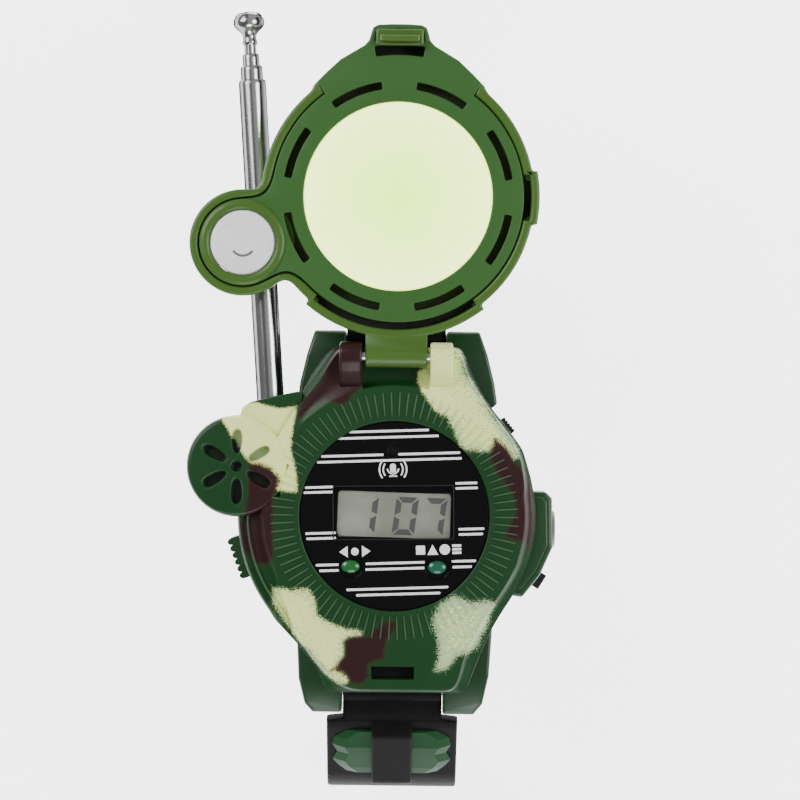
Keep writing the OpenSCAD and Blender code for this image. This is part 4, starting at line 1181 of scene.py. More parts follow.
@dataclass
class Dial:
    """The black face: plate, display, keys and printed marks."""

    radius: float = 19.75
    top: float = 16.4
    low: float = 15.2
    window_at: tuple[float, float] = (-0.2, 0.75)
    window_half: tuple[float, float] = (12.55, 5.5)
    mic_at: tuple[float, float] = (-0.3, 14.0)
    keys_at: tuple = ((-9.1, -10.7), (9.1, -10.7))
    digit_z: float = 15.12
    print_turn: float = 2.3
    glass_turn: float = -1.45

    def build(self, bench: Bench, palette: Palette) -> None:
        """Makes the dial's pieces."""
        window = self.turned(oval_points(self.window_half, self.window_at, 0.5), 1.0)
        wells = [circle_points(2.5, at, 48) for at in self.keys_at]
        mic = circle_points(1.25, self.mic_at, 40)
        bench.plate("dial_face", [circle_points(self.radius, count=160), window, mic, *wells], self.low,
                    self.top, palette.black, "case", "dial_black", ["dial_plate"], 0.12)
        lip = self.turned(oval_points(np.add(self.window_half, 0.22), self.window_at, 0.65), 1.0)
        bench.plate("display_lip", [lip, window], self.top - 0.3, self.top + 0.08, palette.dark, "case",
                    "dial_black", edge=0.05)
        glass = self.turned(oval_points((11.9, 4.75), (-0.1, 0.2), 1.0), self.glass_turn)
        bench.plate("display_mask", [window * 1.02, glass], 15.1, 15.2, palette.black, "case", "dial_black")
        for at, side in zip(self.keys_at, ("left", "right")):
            hole = circle_points(1.0, (0, 0), 40) * (2.15, 1.5) + np.asarray(at)
            bench.plate(f"key_well_{side}", [circle_points(2.55, at, 48), hole], 15.35, 15.9, palette.black,
                        "case", "dial_black", edge=0.1)
        self.key(bench, palette.key, 0, "set_key", "set_button")
        self.key(bench, palette.teal, 1, "mode_key", "mode_button")
        self.lines(bench, palette)
        self.pictograms(bench, palette)
        self.digits(bench, palette)

    @staticmethod
    def turned(loop: Array, degrees: float) -> Array:
        """An outline turned about the dial's centre."""
        c, s = math.cos(math.radians(degrees)), math.sin(math.radians(degrees))
        return np.asarray(loop) @ np.array([(c, s), (-s, c)])

    def key(self, bench: Bench, material: bpy.types.Material, index: int, body: str, node: str) -> None:
        """A domed oval key: a circle's profile carried round, with its x stretched."""
        x, y = self.keys_at[index]
        profile = ((0, 13.9), (2.2, 13.9), (2.2, 14.3), (2.9, 14.4), (2.9, 14.9), (1.45, 15.15),
                   (1.42, 16.1),
                   (1.25, 16.5), (0.8, 16.78), (0, 16.9))
        piece = bench.turned(f"{body}_dome", profile, material, body, "key_green", [node], (x, y, 0),
                             round_by=0.12, segments=48)

        def stretch(points: Array) -> Array:
            """Widens the dome above its collar."""
            share = smooth(points[:, 2], 15.1, 15.3)
            points[:, 0] = x + (points[:, 0] - x) * (1 + 0.42 * share)
            return points
        bench.moved(piece, stretch)

    def lines(self, bench: Bench, palette: Palette) -> None:
        """Silver double lines, printed a little askew across the face as thin strips."""
        runs = ((17.9, -9.0, 7.8), (16.6, -11.4, 9.8), (12.95, -15.0, -1.9), (12.95, 1.2, 14.2),
                (11.75, -15.9, 14.5), (6.5, 13.0, 17.6), (5.45, 13.0, 17.7), (6.5, -18.6, -12.7),
                (5.45, -18.9, -12.7), (-3.15, 13.4, 18.8), (-4.25, 13.4, 18.5), (-3.15, -18.8, -12.4),
                (-4.25, -18.6, -12.4), (-9.85, -16.8, -12.0), (-9.85, -6.3, 6.1), (-9.85, 11.8, 16.9),
                (-11.05, -16.1, -12.0), (-11.05, -6.4, 6.0), (-11.05, 11.9, 16.0), (-15.2, -10.5, 10.9),
                (-16.4, -8.5, 9.2))
        loops = []
        for y, a, b in runs:
            bar = oval_points(((b - a) / 2, 0.25), ((a + b) / 2, y), 0.2)
            loops.append(self.turned(bar, self.print_turn))
        bench.plate("dial_lines", loops, self.top - 0.02, self.top + 0.02, palette.ink, "case",
                    "dial_black")

    def pictograms(self, bench: Bench, palette: Palette) -> None:
        """Plain signs in place of words: a microphone, arrows round a dot, and four small shapes."""
        loops = [oval_points((0.62, 0.95), (0, 10.1), 0.6), oval_points((0.85, 0.14), (0, 8.4), 0.1),
                 oval_points((0.14, 0.35), (0, 8.75), 0.05), arc_slot(1.05, 1.35, 270, 85, (0, 10.1))]
        for side in (0, 180):
            loops += [arc_slot(r, r + 0.32, side, 38, (0, 9.8)) for r in (1.9, 2.7)]
        left, right = (-8.5, -7.2), (8.9, -7.3)
        for s in (-1, 1):
            tip = np.array([(s * 3.3, 0), (s * 1.5, 1.2), (s * 1.5, -1.2)]) + np.asarray(left)
            loops.append(tip[::s])
        loops.append(circle_points(0.8, left, 24))
        loops.append(oval_points((0.95, 0.95), np.add(right, (-3.6, 0)), 0.2))
        loops.append(np.array([(-2.2, -1.05), (0.1, -1.05), (-1.05, 1.1)]) + np.asarray(right))
        loops.append(circle_points(1.1, np.add(right, (1.5, 0)), 28))
        loops += [oval_points((0.95, 0.26), np.add(right, (4.0, dy)), 0.1) for dy in (-0.75, 0, 0.75)]
        loops = [self.turned(loop, self.print_turn) for loop in loops]
        bench.plate("dial_signs", loops, self.top - 0.02, self.top + 0.02, palette.ink, "case",
                    "dial_black")

    def digits(self, bench: Bench, palette: Palette) -> None:
        """Broad slanted seven-segment figures on the display: 1, 0 and 7.

        Each segment is a bar whose inner side is shorter, as on a cheap display.
        """
        wide, tall, bar, gap = 2.35, 4.0, 1.2, 0.17
        side = np.array([(wide, gap), (wide, tall - 0.3), (wide - bar, tall - bar - gap),
                         (wide - bar, bar * 0.62)])
        cap = np.array([(-wide + 0.3, tall), (wide - 0.3, tall), (wide - bar - gap, tall - bar),
                        (-wide + bar + gap, tall - bar)])
        shapes = {"b": side, "c": side * (1, -1), "f": side * (-1, 1), "e": side * (-1, -1), "a": cap,
                  "d": cap * (1, -1)}
        loops = []
        for middle, lit in ((-6.1, "bc"), (2.3, "abcdef"), (8.3, "abc")):
            for key in lit:
                loop = shapes[key] + (middle, 0.05)
                loop[:, 0] += loop[:, 1] * 0.11
                loops.append(self.turned(loop, self.glass_turn))
        bench.plate("display_digits", loops, self.digit_z - 0.03, self.digit_z + 0.02, palette.digit,
                    "case", "lcd_glass")


# ---- The antenna ----------------------------------------------------------------------------


@dataclass
class Antenna:
    """The telescopic antenna: three plated tubes and a rod with a knob."""

    out: float = 66.4
    radii: tuple[float, ...] = (2.9, 2.35, 1.8, 1.25)

    def build(self, bench: Bench, palette: Palette) -> None:
        """Makes the tubes and the rod, each turned about the antenna's axis."""
        bodies = ("case", "antenna_2", "antenna_3")
        nodes = ("antenna_tube", "antenna_section_2", "antenna_section_3")
        ends = ((-8.0, self.out), (-6.0, self.out + 3.0), (-5.6, self.out + 5.6))
        for index, (body, node, (low, high)) in enumerate(zip(bodies, nodes, ends)):
            r, bore = self.radii[index], self.radii[index + 1] + 0.05
            lip = ((bore, low), (r, low), (r, high - 0.9), (r - 0.06, high - 0.35), (r - 0.22, high - 0.05),
                   (bore + 0.05, high), (bore, high - 0.1))
            bench.turned(f"{node}_turned", lip, palette.tube, body, "chrome", [node], axis="y",
                         segments=64, place=Place.ANTENNA)
        r, o = self.radii[3], self.out
        knob = ((0, -5.2), (r, -5.2), (r, o + 7.5), (1.45, o + 7.55), (1.6, o + 7.8), (1.6, o + 8.2),
                (1.42, o + 8.6), (1.4, o + 9.2), (1.6, o + 9.8), (2.1, o + 10.4), (2.8, o + 11.0),
                (3.15, o + 11.4), (3.28, o + 11.9), (3.28, o + 12.6), (3.1, o + 13.1), (2.95, o + 13.2),
                (2.8, o + 13.7), (2.2, o + 14.2), (1.2, o + 14.45), (0, o + 14.5))
        bench.turned("antenna_rod_turned", knob, palette.tube, "antenna_tip", "chrome", ["antenna_rod"],
                     axis="y", segments=64, place=Place.ANTENNA)


# ---- The lid --------------------------------------------------------------------------------


@dataclass
class Lid:
    """The flip-up lid, drawn folded fully open: shell, liner, pale plate, eye and hook."""

    centre: tuple[float, float] = (0.0, 67.0)
    radius: float = 28.6
    top: float = 19.2
    low: float = 12.8
    eye_at: tuple[float, float] = (-32.45, 57.0)
    eye_r: float = 11.15
    tab_from: float = 54.0
    hinge_y: float = 33.5
    hinge_z: float = 18.6

    def tab(self, x: Array, y: Array) -> Array:
        """Signed distance to the point of the lid with its tab; x and y are from its centre."""
        side = ((19, 19), (17.9, 23.2), (15.4, 25.8), (12.4, 28.6), (9.6, 30.3), (7.4, 31.6), (6.5, 32.6),
                (6.0, 34.2), (5.6, 35.3), (4.5, 35.9), (2, 36.1))
        corners = [*side, *[(-a, b) for a, b in reversed(side)]]
        return polygon_field(x, y, corners)

    def outline(self, x: Array, y: Array) -> Array:
        """Signed distance to the lid's outline, with fillets round the compass eye."""
        dx, dy = x - self.centre[0], y - self.centre[1]
        r = np.hypot(dx, dy)
        angle = np.degrees(np.arctan2(dy, dx)) % 360
        bump = np.maximum(r - 29.7, (np.abs((angle + 180) % 360 - 180) - 11) * 0.5)
        crescent = np.maximum(r - 29.7, (np.abs(angle - 269) - 39) * 0.5)
        body = blend_fields(r - self.radius, self.tab(dx, dy), 0.8)
        body = blend_fields(body, blend_fields(bump, crescent, 0.1), 0.9)
        return blend_fields(body, circle_field(x, y, self.eye_at, self.eye_r), 3.4)

    def inner(self, x: Array, y: Array) -> Array:
        """Signed distance to the liner: a disc joined to the eye's seat by fillets."""
        disc = circle_field(x, y, self.centre, 26.35)
        seat = circle_field(x, y, self.eye_at, 9.05)
        return blend_fields(disc, seat, 7.5)

    def walk(self, shape: Callable[[Array, Array], Array], inset: float) -> Array:
        """The outline of a shape drawn in by an inset, walked round from the lid's centre.

        The eye hangs over the disc's flank, where one ray can meet the outline more than once,
        so the eye's far side is walked from the eye's own centre.
        """
        def field(x: Array, y: Array) -> Array:
            """The shape drawn in by the inset."""
            return shape(x, y) + inset
        eye = np.asarray(self.eye_at)
        bridge = (eye - self.centre) * 0.52 + self.centre
        big = np.radians(np.linspace(-157.5, 157.5, 900) + 180 + 197.12)
        r = reach_of(field, big, 12, 52, self.centre)
        disc = np.stack([self.centre[0] + r * np.cos(big), self.centre[1] + r * np.sin(big)], axis=1)
        small = np.radians(np.linspace(-118, 118, 240) + 197.12)
        r = reach_of(field, small, 3, 14, self.eye_at)
        ear = np.stack([eye[0] + r * np.cos(small), eye[1] + r * np.sin(small)], axis=1)
        necks = []
        for first, last in ((disc[-1], ear[0]), (ear[-1], disc[0])):
            a0 = np.unwrap([math.atan2(*(first - bridge)[::-1]), math.atan2(*(last - bridge)[::-1])])
            turn = np.linspace(a0[0], a0[1], 50)[1:-1]
            r = reach_of(field, turn, 1.0, 20, bridge)
            necks.append(np.stack([bridge[0] + r * np.cos(turn), bridge[1] + r * np.sin(turn)], axis=1))
        return np.concatenate([disc, necks[0], ear, necks[1]])

    def opened(self, grow: float, inset: float) -> Array:
        """The liner's outline grown by a gap, run out near the lid's own edge at the tab.

        Where there is a gap, it also widens into two crescents, at the right and the bottom.
        """
        def shape(x: Array, y: Array) -> Array:
            """Signed distance to the grown outline."""
            dx, dy = x - self.centre[0], y - self.centre[1]
            r = np.hypot(dx, dy)
            angle = np.degrees(np.arctan2(dy, dx)) % 360
            away = np.abs(angle - 90) - (90 - self.tab_from)
            front = np.maximum(self.outline(x, y) + inset, away * 0.6)
            joined = np.minimum(self.inner(x, y) - grow, front)
            if not grow:
                return joined
            right = np.abs((angle + 180) % 360 - 180) - 10.0
            foot = np.abs(angle - 269) - 37.5
            return np.minimum(joined, np.maximum(r - 27.85, np.minimum(right, foot) * 0.45))
        return self.walk(shape, 0.0)

    def build(self, bench: Bench, palette: Palette) -> None:
        """Makes the lid's pieces."""
        self.shell(bench, palette)
        self.liner(bench, palette)
        self.eye(bench, palette)
        self.hinge(bench, palette)
        self.hook(bench, palette)

    def shell(self, bench: Bench, palette: Palette) -> None:
        """The shell: a rounded rim, an outer wall, and a shallow pan under a hollow that a black sheet
        darkens as painted shade.
        """
        at = self.centre
        edge = self.walk(self.outline, 0.0)
        bench.plate("lid_rim", [edge, self.opened(0.24, 1.3)], 16.9, self.top, palette.lid, "lid",
                    "lid_green",
                    ["lid_shell"], 0.6)
        wall = self.walk(self.outline, 0.2)
        bench.plate("lid_wall", [wall, self.walk(self.outline, 1.6)], 14.2, 17.4, palette.lid, "lid",
                    "lid_green", edge=0.2)
        opening = circle_points(6.9, self.eye_at, 72)
        bench.plate("lid_floor", [self.walk(self.outline, 0.45), opening], 13.7, 14.6, palette.lid, "lid",
                    "lid_green", edge=0.2)
        # Painted shade: a black sheet under the liner darkens the hollow seen through its slots.
        bench.plate("lid_shade_sheet", [self.walk(self.outline, 1.75), opening], 14.62, 14.9, palette.shade,
                    "lid",
                    "lid_green")
        pan = ((15.25, 14.0), (15.25, 12.95), (15.6, self.low), (25.0, self.low), (27.2, 13.3),
               (28.0, 13.9),
               (28.0, 14.1))
        bench.turned("lid_pan", pan, palette.lid, "lid", "lid_green", at=(*at, 0), round_by=0.4,
                     segments=180)

    def liner(self, bench: Bench, palette: Palette) -> None:
        """The inner plate, run out to the tab and round the eye, with arc slots and the pale plate."""
        at = self.centre
        slots = [arc_slot(22.6, 24.2, 22.5 + 45 * k, 13.5, at) for k in range(8)]
        notch = arc_slot(29.6, 31.8, 90, 9.6, at)
        plate = circle_points(19.8, at, 150)
        seat = circle_points(8.0, self.eye_at, 80)
        bench.plate("liner_plate", [self.opened(0.0, 0.12), plate, notch, seat, *slots], 17.7,
                    self.top + 0.06, palette.liner, "lid", "liner_green", ["lid_liner"], 0.22)
        disc = ((0, 18.0), (19.75, 18.0), (19.75, 18.75), (19.5, 19.0), (0, 19.08))
        bench.turned("pale_plate", disc, palette.glow, "lid", "glow_pale", ["glow_disc"], (*at, 0),
                     segments=160)

    def eye(self, bench: Bench, palette: Palette) -> None:
        """The compass eye: a raised ring on both faces and the compass's stamped metal back."""
        at = (*self.eye_at, 0)
        ring = ((6.87, 17.5), (6.87, 19.3), (7.0, 19.55), (7.3, 19.75), (7.8, 19.85), (8.3, 19.8),
                (8.75, 19.62),
                (8.98, 19.35), (8.98, 17.5))
        bench.turned("eye_ring", ring, palette.lid, "lid", "lid_green", at=at, segments=120)
        under = ((6.87, 15.4), (6.87, 14.0), (7.1, 13.5), (9.6, 13.4), (10.6, 13.7), (10.7, 15.4))
        bench.turned("eye_bezel", under, palette.lid, "lid", "lid_green", at=at, round_by=0.15,
                     segments=120)
        cup = ((6.2, 13.9), (6.8, 13.9), (6.8, 18.9), (6.6, 19.12), (6.1, 19.18), (5.6, 19.2), (5.4, 19.2),
               (1.9, 19.2),
               (1.75, 19.2), (1.65, 19.17), (1.5, 19.165), (1.3, 19.165), (0, 19.165), (0, 18.3),
               (6.2, 18.3))
        bench.turned("compass_cup", cup, palette.cup, "lid", "compass_metal", ["compass_case"], at,
                     segments=120)
        dent = arc_slot(2.2, 2.72, 270, 56, np.add(self.eye_at, (0.1, -0.35)))
        # Painted shade: the dent is a dark strip laid on the compass back.
        bench.plate("cup_dent", [dent], 19.15, 19.215, palette.dull, "lid", "compass_metal")
        boss = arc_slot(1.25, 1.45, 75, 110, self.eye_at)
        bench.plate("cup_boss", [boss], 19.15, 19.23, palette.cup, "lid", "compass_metal", edge=0.03)

    def hinge(self, bench: Bench, palette: Palette) -> None:
        """The barrel and its arm: one side outline given width, tangent to the barrel."""
        middle = np.array([self.hinge_y, self.hinge_z])
        arm = np.array([(35.8, 16.7), (37.2, 16.3), (39.0, 16.4), (39.0, 18.9), (37.7, 19.15),
                        (36.4, 19.65)])
        outline = np.concatenate([circle_points(2.3, middle, 34, 62, 246), arm])
        rows = []
        for u, inset in ((-6.45, 0.35), (-6.38, 0.15), (-6.2, 0), (6.2, 0), (6.38, 0.15), (6.45, 0.35)):
            direction = outline - middle
            length = np.linalg.norm(direction, axis=1, keepdims=True)
            rows.append(np.column_stack([np.full(len(outline), u), outline - direction / length * inset]))
        rows.insert(0, np.tile([-6.45, *middle], (len(outline), 1)))
        rows.append(np.tile([6.45, *middle], (len(outline), 1)))
        bench.surface("hinge_arm", np.array(rows), palette.lid, "lid", close_rows=False)

    def hook(self, bench: Bench, palette: Palette) -> None:
        """The latch hook, a barbed tongue over the liner's slot, with a low wall round it."""
        y = self.centre[1] + 32.9
        outline = rounded_corners(((y - 0.55, 18.2), (y - 0.55, 21.7), (y - 0.8, 22.1), (y - 0.7, 22.7),
                                   (y + 0.45, 22.2), (y + 0.7, 20.4), (y + 1.4, 18.2)), 0.25, 5)
        middle = outline.mean(axis=0)
        rows = []
        for u, inset in ((-4.05, 0.35), (-3.9, 0.1), (-3.6, 0), (3.6, 0), (3.9, 0.1), (4.05, 0.35)):
            rows.append(np.column_stack([np.full(len(outline), u),
                                         outline + (middle - outline) * inset * 0.5]))
        rows.insert(0, np.tile([-4.05, *middle], (len(outline), 1)))
        rows.append(np.tile([4.05, *middle], (len(outline), 1)))
        bench.surface("latch_hook", np.array(rows), palette.lid, "lid", close_rows=False)
        base = oval_points((4.95, 1.7), (0, y + 0.25), 0.6)
        bench.plate("hook_base", [base], 18.4, 20.5, palette.lid, "lid", "liner_green", edge=0.4)
        at = self.centre
        rim = np.array([(-6.0, 34.2), (-5.6, 35.3), (-4.5, 35.85), (0, 36.0), (4.5, 35.85), (5.6, 35.3),
                        (6.0, 34.2), (6.3, 32.9), (5.3, 31.9), (4.9, 34.4), (0, 34.9), (-4.9, 34.4),
                        (-5.3, 31.9), (-6.3, 32.9)]) + np.asarray(at)
        bench.plate("tab_rim", [rounded_corners(rim, 0.5, 4)], 18.6, self.top + 0.5, palette.liner, "lid",
                    "liner_green", edge=0.35)


# ---- The side keys --------------------------------------------------------------------------


@dataclass
class SideKeys:
    """The ribbed talk key on the left, and the ribbed power knob on the upper right."""

    talk_turn: float = 200.5
    talk_span: tuple[float, float] = (-7.2, 1.8)
    talk_reach: tuple[float, float] = (35.15, 35.15)
    knob_turn: float = 39.0
    knob_half: float = 1.85
    knob_reach: float = 31.2

    @staticmethod
    def pad(turn: float, span: Sequence[float], reach: Sequence[float], inner: float, teeth: int,
            depth: float) -> Array:
        """The outline of a pad with rounded teeth along its outer side.

        Args:
            turn: the direction that the pad faces, in degrees.
            span: where the pad starts and ends across that direction.
            reach: how far out its first and last tooth stand.
            inner: where its inner side lies.
            teeth: how many teeth it has.
            depth: how deep the notches between them are.

        Returns:
            The outline: a rectified sine along the outer side, and a straight inner side.
        """
        share = np.linspace(0, 1, teeth * 14 + 1)
        wave = np.abs(np.sin(np.pi * teeth * share)) ** 0.55
        u = reach[0] + (reach[1] - reach[0]) * share - depth * (1 - wave)
        v = span[0] + (span[1] - span[0]) * share
        u = np.concatenate([[inner], u, [inner]])
        v = np.concatenate([[span[0]], v, [span[1]]])
        c, s = math.cos(math.radians(turn)), math.sin(math.radians(turn))
        return np.stack([u * c - v * s, u * s + v * c], axis=1)

    def build(self, bench: Bench, palette: Palette) -> None:
        """Makes both keys as thick plates of their toothed outlines."""
        talk = self.pad(self.talk_turn, self.talk_span, self.talk_reach, 26.0, 6, 0.85)
        bench.plate("talk_key_ribbed", [talk], 5.0, 12.0, palette.case, "talk_key", "key_green",
                    ["ptt_button"],
                    0.12)
        half = self.knob_half
        knob = self.pad(self.knob_turn, (-half, half), (self.knob_reach,) * 2, 27.5, 5, 0.42)
        bench.plate("power_knob_ribbed", [knob], 7.2, 10.8, palette.dark, "power_knob", "knob_dark",
                    ["power_slider"], 0.06)


# ---- The strap ------------------------------------------------------------------------------


@dataclass
class Strap:
    """Both strap halves, their link plates and the bands over them."""

    width: float = 28.0
    end_width: float = 21.1
    thick: float = 2.6
    fine: int = 26

    def run(self, drop: float, foot: float) -> Array:
        """The middle line seen from the side: rows of outward, height, heading and length.

        Each stretch is [length, turn]; a turn is walked in equal small steps.
        """
        stretches = ((4, 0), (4, 32), (14, 0), (9, 50), (drop, 0), (30, 88), (foot, 0))
        lengths, turns = [], []
        for length, turn in stretches:
            steps = self.fine if turn else max(2, int(length / 0.6))
            lengths += [length / steps] * steps
            turns += [turn / steps] * steps
        lengths, turns = np.array(lengths), np.array(turns)
        after = -10 - np.cumsum(turns)
        heading = np.radians(after + turns / 2)
        y = np.concatenate([[0], np.cumsum(lengths * np.cos(heading))])
        z = np.concatenate([[0], np.cumsum(lengths * np.sin(heading))])
        d = np.concatenate([[0], np.cumsum(lengths)])
        return np.stack([y, z, np.concatenate([[-10], after]), d], axis=1)

    def half_width(self, d: Array) -> Array:
        """Half the strap's width along it: narrow at the lugs, wide, then tapered."""
        wide = self.width / 2
        narrow = self.end_width / 2
        lug = narrow + (wide - narrow) * smooth(d, 5.5, 6.2)
        return np.where(d < 20, lug, np.maximum(narrow, wide - np.maximum(d - 36, 0) * 0.14))

    def swept(self, path: Array, half: Array, low: Array, high: Array, corner: float = 0.55) -> Array:
        """Points of a bar with rounded edges, swept along a path; ends are drawn to a point."""
        steps = 6
        quarter = np.linspace(0, np.pi / 2, steps)
        sections = []
        for sx, sz, start in ((1, 1, 0), (-1, 1, 1), (-1, -1, 2), (1, -1, 3)):
            angle = quarter + start * np.pi / 2
            sections.append(np.stack([np.full(steps, sx), np.full(steps, sz), np.cos(angle), np.sin(angle)],
                                     axis=1))
        section = np.concatenate(sections)
        half, low, high = (np.broadcast_to(v, len(path))[:, None] for v in (half, low, high))
        middle, up = (low + high) / 2, (high - low) / 2
        x = section[:, 0] * (half - corner) + section[:, 2] * corner
        t = middle + section[:, 1] * (up - corner) + section[:, 3] * corner
        angle = np.radians(path[:, 2])[:, None]
        y = path[:, 0][:, None] - np.sin(angle) * t
        z = path[:, 1][:, None] + np.cos(angle) * t
        points = np.stack([x, y, z], axis=-1)
        caps = [np.repeat(points[i:i + 1].mean(axis=1, keepdims=True), points.shape[1], axis=1) for i in (0,
                                                                                                          -1)]
        return np.concatenate([caps[0], points, caps[1]])

    def build(self, bench: Bench, palette: Palette) -> None:
        """Makes both halves."""
        self.half(bench, palette, "lower", 4.0, 20.0, Place.LOWER_STRAP, "strap_low")
        self.half(bench, palette, "upper", 2.8, 15.0, Place.UPPER_STRAP, "strap_up")

    def half(self, bench: Bench, palette: Palette, side: str, drop: float, foot: float, place: Place,
             body: str) -> None:
        """One half: tongue, knuckle, band and link plate."""
        path = self.run(drop, foot)
        end = path[-1]
        thick = self.thick / 2
        node = f"strap_{side}"
        if side == "lower":
            steps = np.linspace(0, 1, 14)[1:]
            tip = np.repeat(end[None], len(steps), axis=0)
            tip[:, 0] -= steps * self.end_width / 2
            tip[:, 3] += steps * self.end_width / 2
            path = np.concatenate([path, tip])
        half = self.half_width(path[:, 3])
        past = np.clip((path[:, 3] - end[3]) / (self.end_width / 2), 0, 0.998)
        half = half * np.sqrt(1 - past ** 2)
        ridge = 0.12 * (smooth(np.abs((path[:, 3] % 3.0) - 1.5), 0.9, 1.3)) * (path[:, 3] > 28)
        start = path[:, 3] > 1.2
        points = self.swept(path[start], np.maximum(half[start], 0.6), -thick, thick - ridge[start])
        bench.surface(f"{node}_tongue", points, palette.strap, body, [node], place,
                      close_rows=False)
        knuckle = ((0.8, -10.55), (2.3, -10.55), (2.3, 10.55), (0.8, 10.55))
        bench.turned(f"{node}_knuckle", knuckle, palette.strap, body, "strap_black", axis="x",
                     round_by=0.4, segments=40, place=place)
        self.band(bench, palette, node, path, place, body)
        self.link(bench, palette, side, path, place, body)

    def band(self, bench: Bench, palette: Palette, node: str, path: Array, place: Place, body: str) -> None:
        """The raised band that holds the link plate, its ends curving into the strap."""
        d = path[:, 3]
        rows = path[(d > 4.6) & (d < 26.5)]
        d = rows[:, 3]
        lift = smooth(d, 5.0, 8.2) * (1 - smooth(d, 22.0, 26.2))
        high = self.thick / 2 - 0.5 + lift * 3.0
        low = np.where(lift > 0.97, self.thick / 2 + 1.45, 0.0)
        half = 4.3 * np.sqrt(np.clip(1 - np.clip((d - 23.5) / 3.6, 0, 0.93) ** 2, 0.05, 1))
        points = self.swept(rows, half, low, high, 0.45)
        bench.surface(f"{node}_band", points, palette.strap, body, (), place,
                      close_rows=False)

    def link(self, bench: Bench, palette: Palette, side: str, path: Array, place: Place, body: str) -> None:
        """The green link plate: a faceted block with a ridge and notched ends, laid on the slope.

        Each station along the strap gives half the width, the height at the outer edge and the
        height of the top; six points cross the block at each station.
        """
        stations = ((0.2, 9.6, 0.0, 0.1), (0.25, 9.7, 0.2, 0.75), (2.2, 12.3, 0.25, 1.1),
                    (4.5, 12.75, 0.3, 1.42),
                    (6.7, 11.7, 0.5, 1.36), (9.2, 12.75, 0.3, 1.2), (11.2, 11.6, 0.25, 1.1),
                    (13.2, 9.8, 0.2, 0.85),
                    (13.4, 9.6, 0.0, 0.1))
        start = path[np.argmin(np.abs(path[:, 3] - 8.0))]
        angle = math.radians(start[2])
        base = self.thick / 2 - 0.1
        rows = []
        for s, wide, low, high in stations:
            x = np.array([-wide, -wide, -wide + 2.6, wide - 2.6, wide, wide, 0])
            t = base + np.array([0, low, high, high, low, 0, 0])
            y = start[0] + s * math.cos(angle) - t * math.sin(angle)
            z = start[1] + s * math.sin(angle) + t * math.cos(angle)
            rows.append(np.stack([x, y, z], axis=1))
        rows = [np.tile(rows[0].mean(axis=0), (7, 1)), *rows, np.tile(rows[-1].mean(axis=0), (7, 1))]
        bench.surface(f"{side}_link_block", np.array(rows), palette.link, body,
                      [f"{side}_link_plate"], place, sharp=4, close_rows=False)


# ---- Pieces that keep their frame shapes ------------------------------------------------------


def dress_frame(palette: Palette) -> None:
    """Gives every remaining frame node its finish."""
    finishes = {
        palette.case: ("battery_door",),
        palette.steel: ("door_screw", "case_screws", "radio_cells", "clock_cell", "speaker_frame",
                        "ptt_spring", "hinge_pin", "lower_lug_pin", "upper_lug_pin", "buckle_pin"),
        palette.chrome: ("buckle_frame", "buckle_tang"),
        palette.brass: ("contact_plates", "antenna_clamp", "compass_pivot"),
        palette.board: ("main_board", "clock_board"),
        palette.cone: ("speaker_cone", "microphone"),
        palette.clear: ("lcd_window", "compass_crystal"),
        palette.lens: ("torch_lens",),
        palette.display: ("lcd_panel",),
        palette.pink: ("zebra_strip",),
        palette.pad: ("key_pad",),
        palette.dark: ("ptt_switch", "slide_switch", "torch_switch", "torch_button"),
        palette.ivory: ("torch_led",),
        palette.mirror: ("signal_mirror",),
        palette.card: ("compass_dial",),
        palette.red: ("compass_needle",),
        palette.strap: ("strap_keeper",),
    }
    for material, names in finishes.items():
        for name in names:
            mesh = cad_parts[name].data
            mesh.materials.clear()
            mesh.materials.append(material)
            LOG.info("%s dressed with %s", name, material.name)


# ---- The studio -----------------------------------------------------------------------------


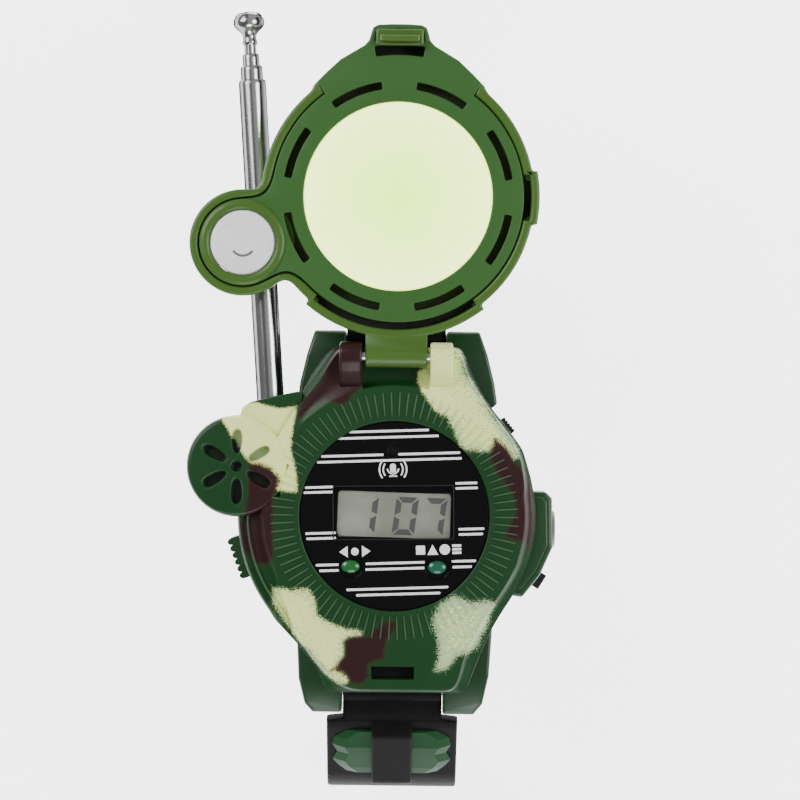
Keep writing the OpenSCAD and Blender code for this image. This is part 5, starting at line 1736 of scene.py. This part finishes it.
@dataclass
class Studio:
    """A pale floor, soft light from above, and a camera straight over the dial."""

    view_mm: float = 168.0
    distance: float = 650.0
    aim: tuple[float, float] = (0.9, 24.4)
    plane_z: float = 16.4
    roll: float = 0.68
    floor_z: float = -39.0
    floor_half_m: float = 4.0

    def build(self) -> None:
        """Sets the stage: floor, world, three lamps and the camera."""
        scene = bpy.context.scene
        floor = bpy.data.meshes.new("floor")
        s = self.floor_half_m
        z = self.floor_z * MM
        floor.from_pydata([(-s, -s, z), (s, -s, z), (s, s, z), (-s, s, z)], [], [(0, 1, 2, 3)])
        paper = Graph("pale_floor")
        cloud = paper.noise(0.01, 2.0)
        white = paper.mix(cloud, (0.94, 0.94, 0.94), (0.96, 0.96, 0.96))
        paper.finish(Base_Color=white, Roughness=0.8, Emission_Color=white, Emission_Strength=3.4)
        floor.materials.append(paper.material)
        ground = bpy.data.objects.new("floor", floor)
        scene.collection.objects.link(ground)
        world = bpy.data.worlds.new("studio")
        world.use_nodes = True
        world.node_tree.nodes["Background"].inputs[0].default_value = (1, 1, 1, 1)
        world.node_tree.nodes["Background"].inputs[1].default_value = 0.35
        scene.world = world
        self.lamp("key_light", (-0.55, 0.4, 0.6), 0.5, 7.0)
        self.lamp("fill_light", (0.6, 0.1, 0.55), 0.45, 5.0)
        self.lamp("front_light", (0.05, -0.7, 0.5), 0.45, 4.0)
        data = bpy.data.cameras.new("camera")
        data.sensor_width = 36.0
        data.lens = 36.0 * self.distance / self.view_mm
        data.clip_end = 20.0
        camera = bpy.data.objects.new("camera", data)
        camera.location = (self.aim[0] * MM, self.aim[1] * MM, (self.plane_z + self.distance) * MM)
        camera.rotation_euler = (0, 0, math.radians(self.roll))
        scene.collection.objects.link(camera)
        scene.camera = camera

    @staticmethod
    def lamp(name: str, at: Sequence[float], size: float, power: float) -> None:
        """A square soft light that faces the middle of the object."""
        data = bpy.data.lights.new(name, "AREA")
        data.size = size
        data.energy = power
        lamp = bpy.data.objects.new(name, data)
        lamp.location = at
        aim = np.array([0, 0.025, 0]) - np.asarray(at)
        flat = math.hypot(aim[0], aim[1])
        lamp.rotation_euler = (math.atan2(flat, -aim[2]), 0, math.atan2(aim[0], -aim[1]) + math.pi)
        bpy.context.scene.collection.objects.link(lamp)


def main() -> None:
    """Builds the studio and every sub-assembly in order."""
    logging.basicConfig(level=logging.INFO, format="%(name)s: %(message)s")
    bench = Bench()
    Studio().build()
    palette = Palette()
    dress_frame(palette)
    for part in (FrontShell(), BackShell(), Dial(), SideKeys(), Antenna(), Lid(), Strap()):
        part.build(bench, palette)


if __name__ == "__main__":
    main()
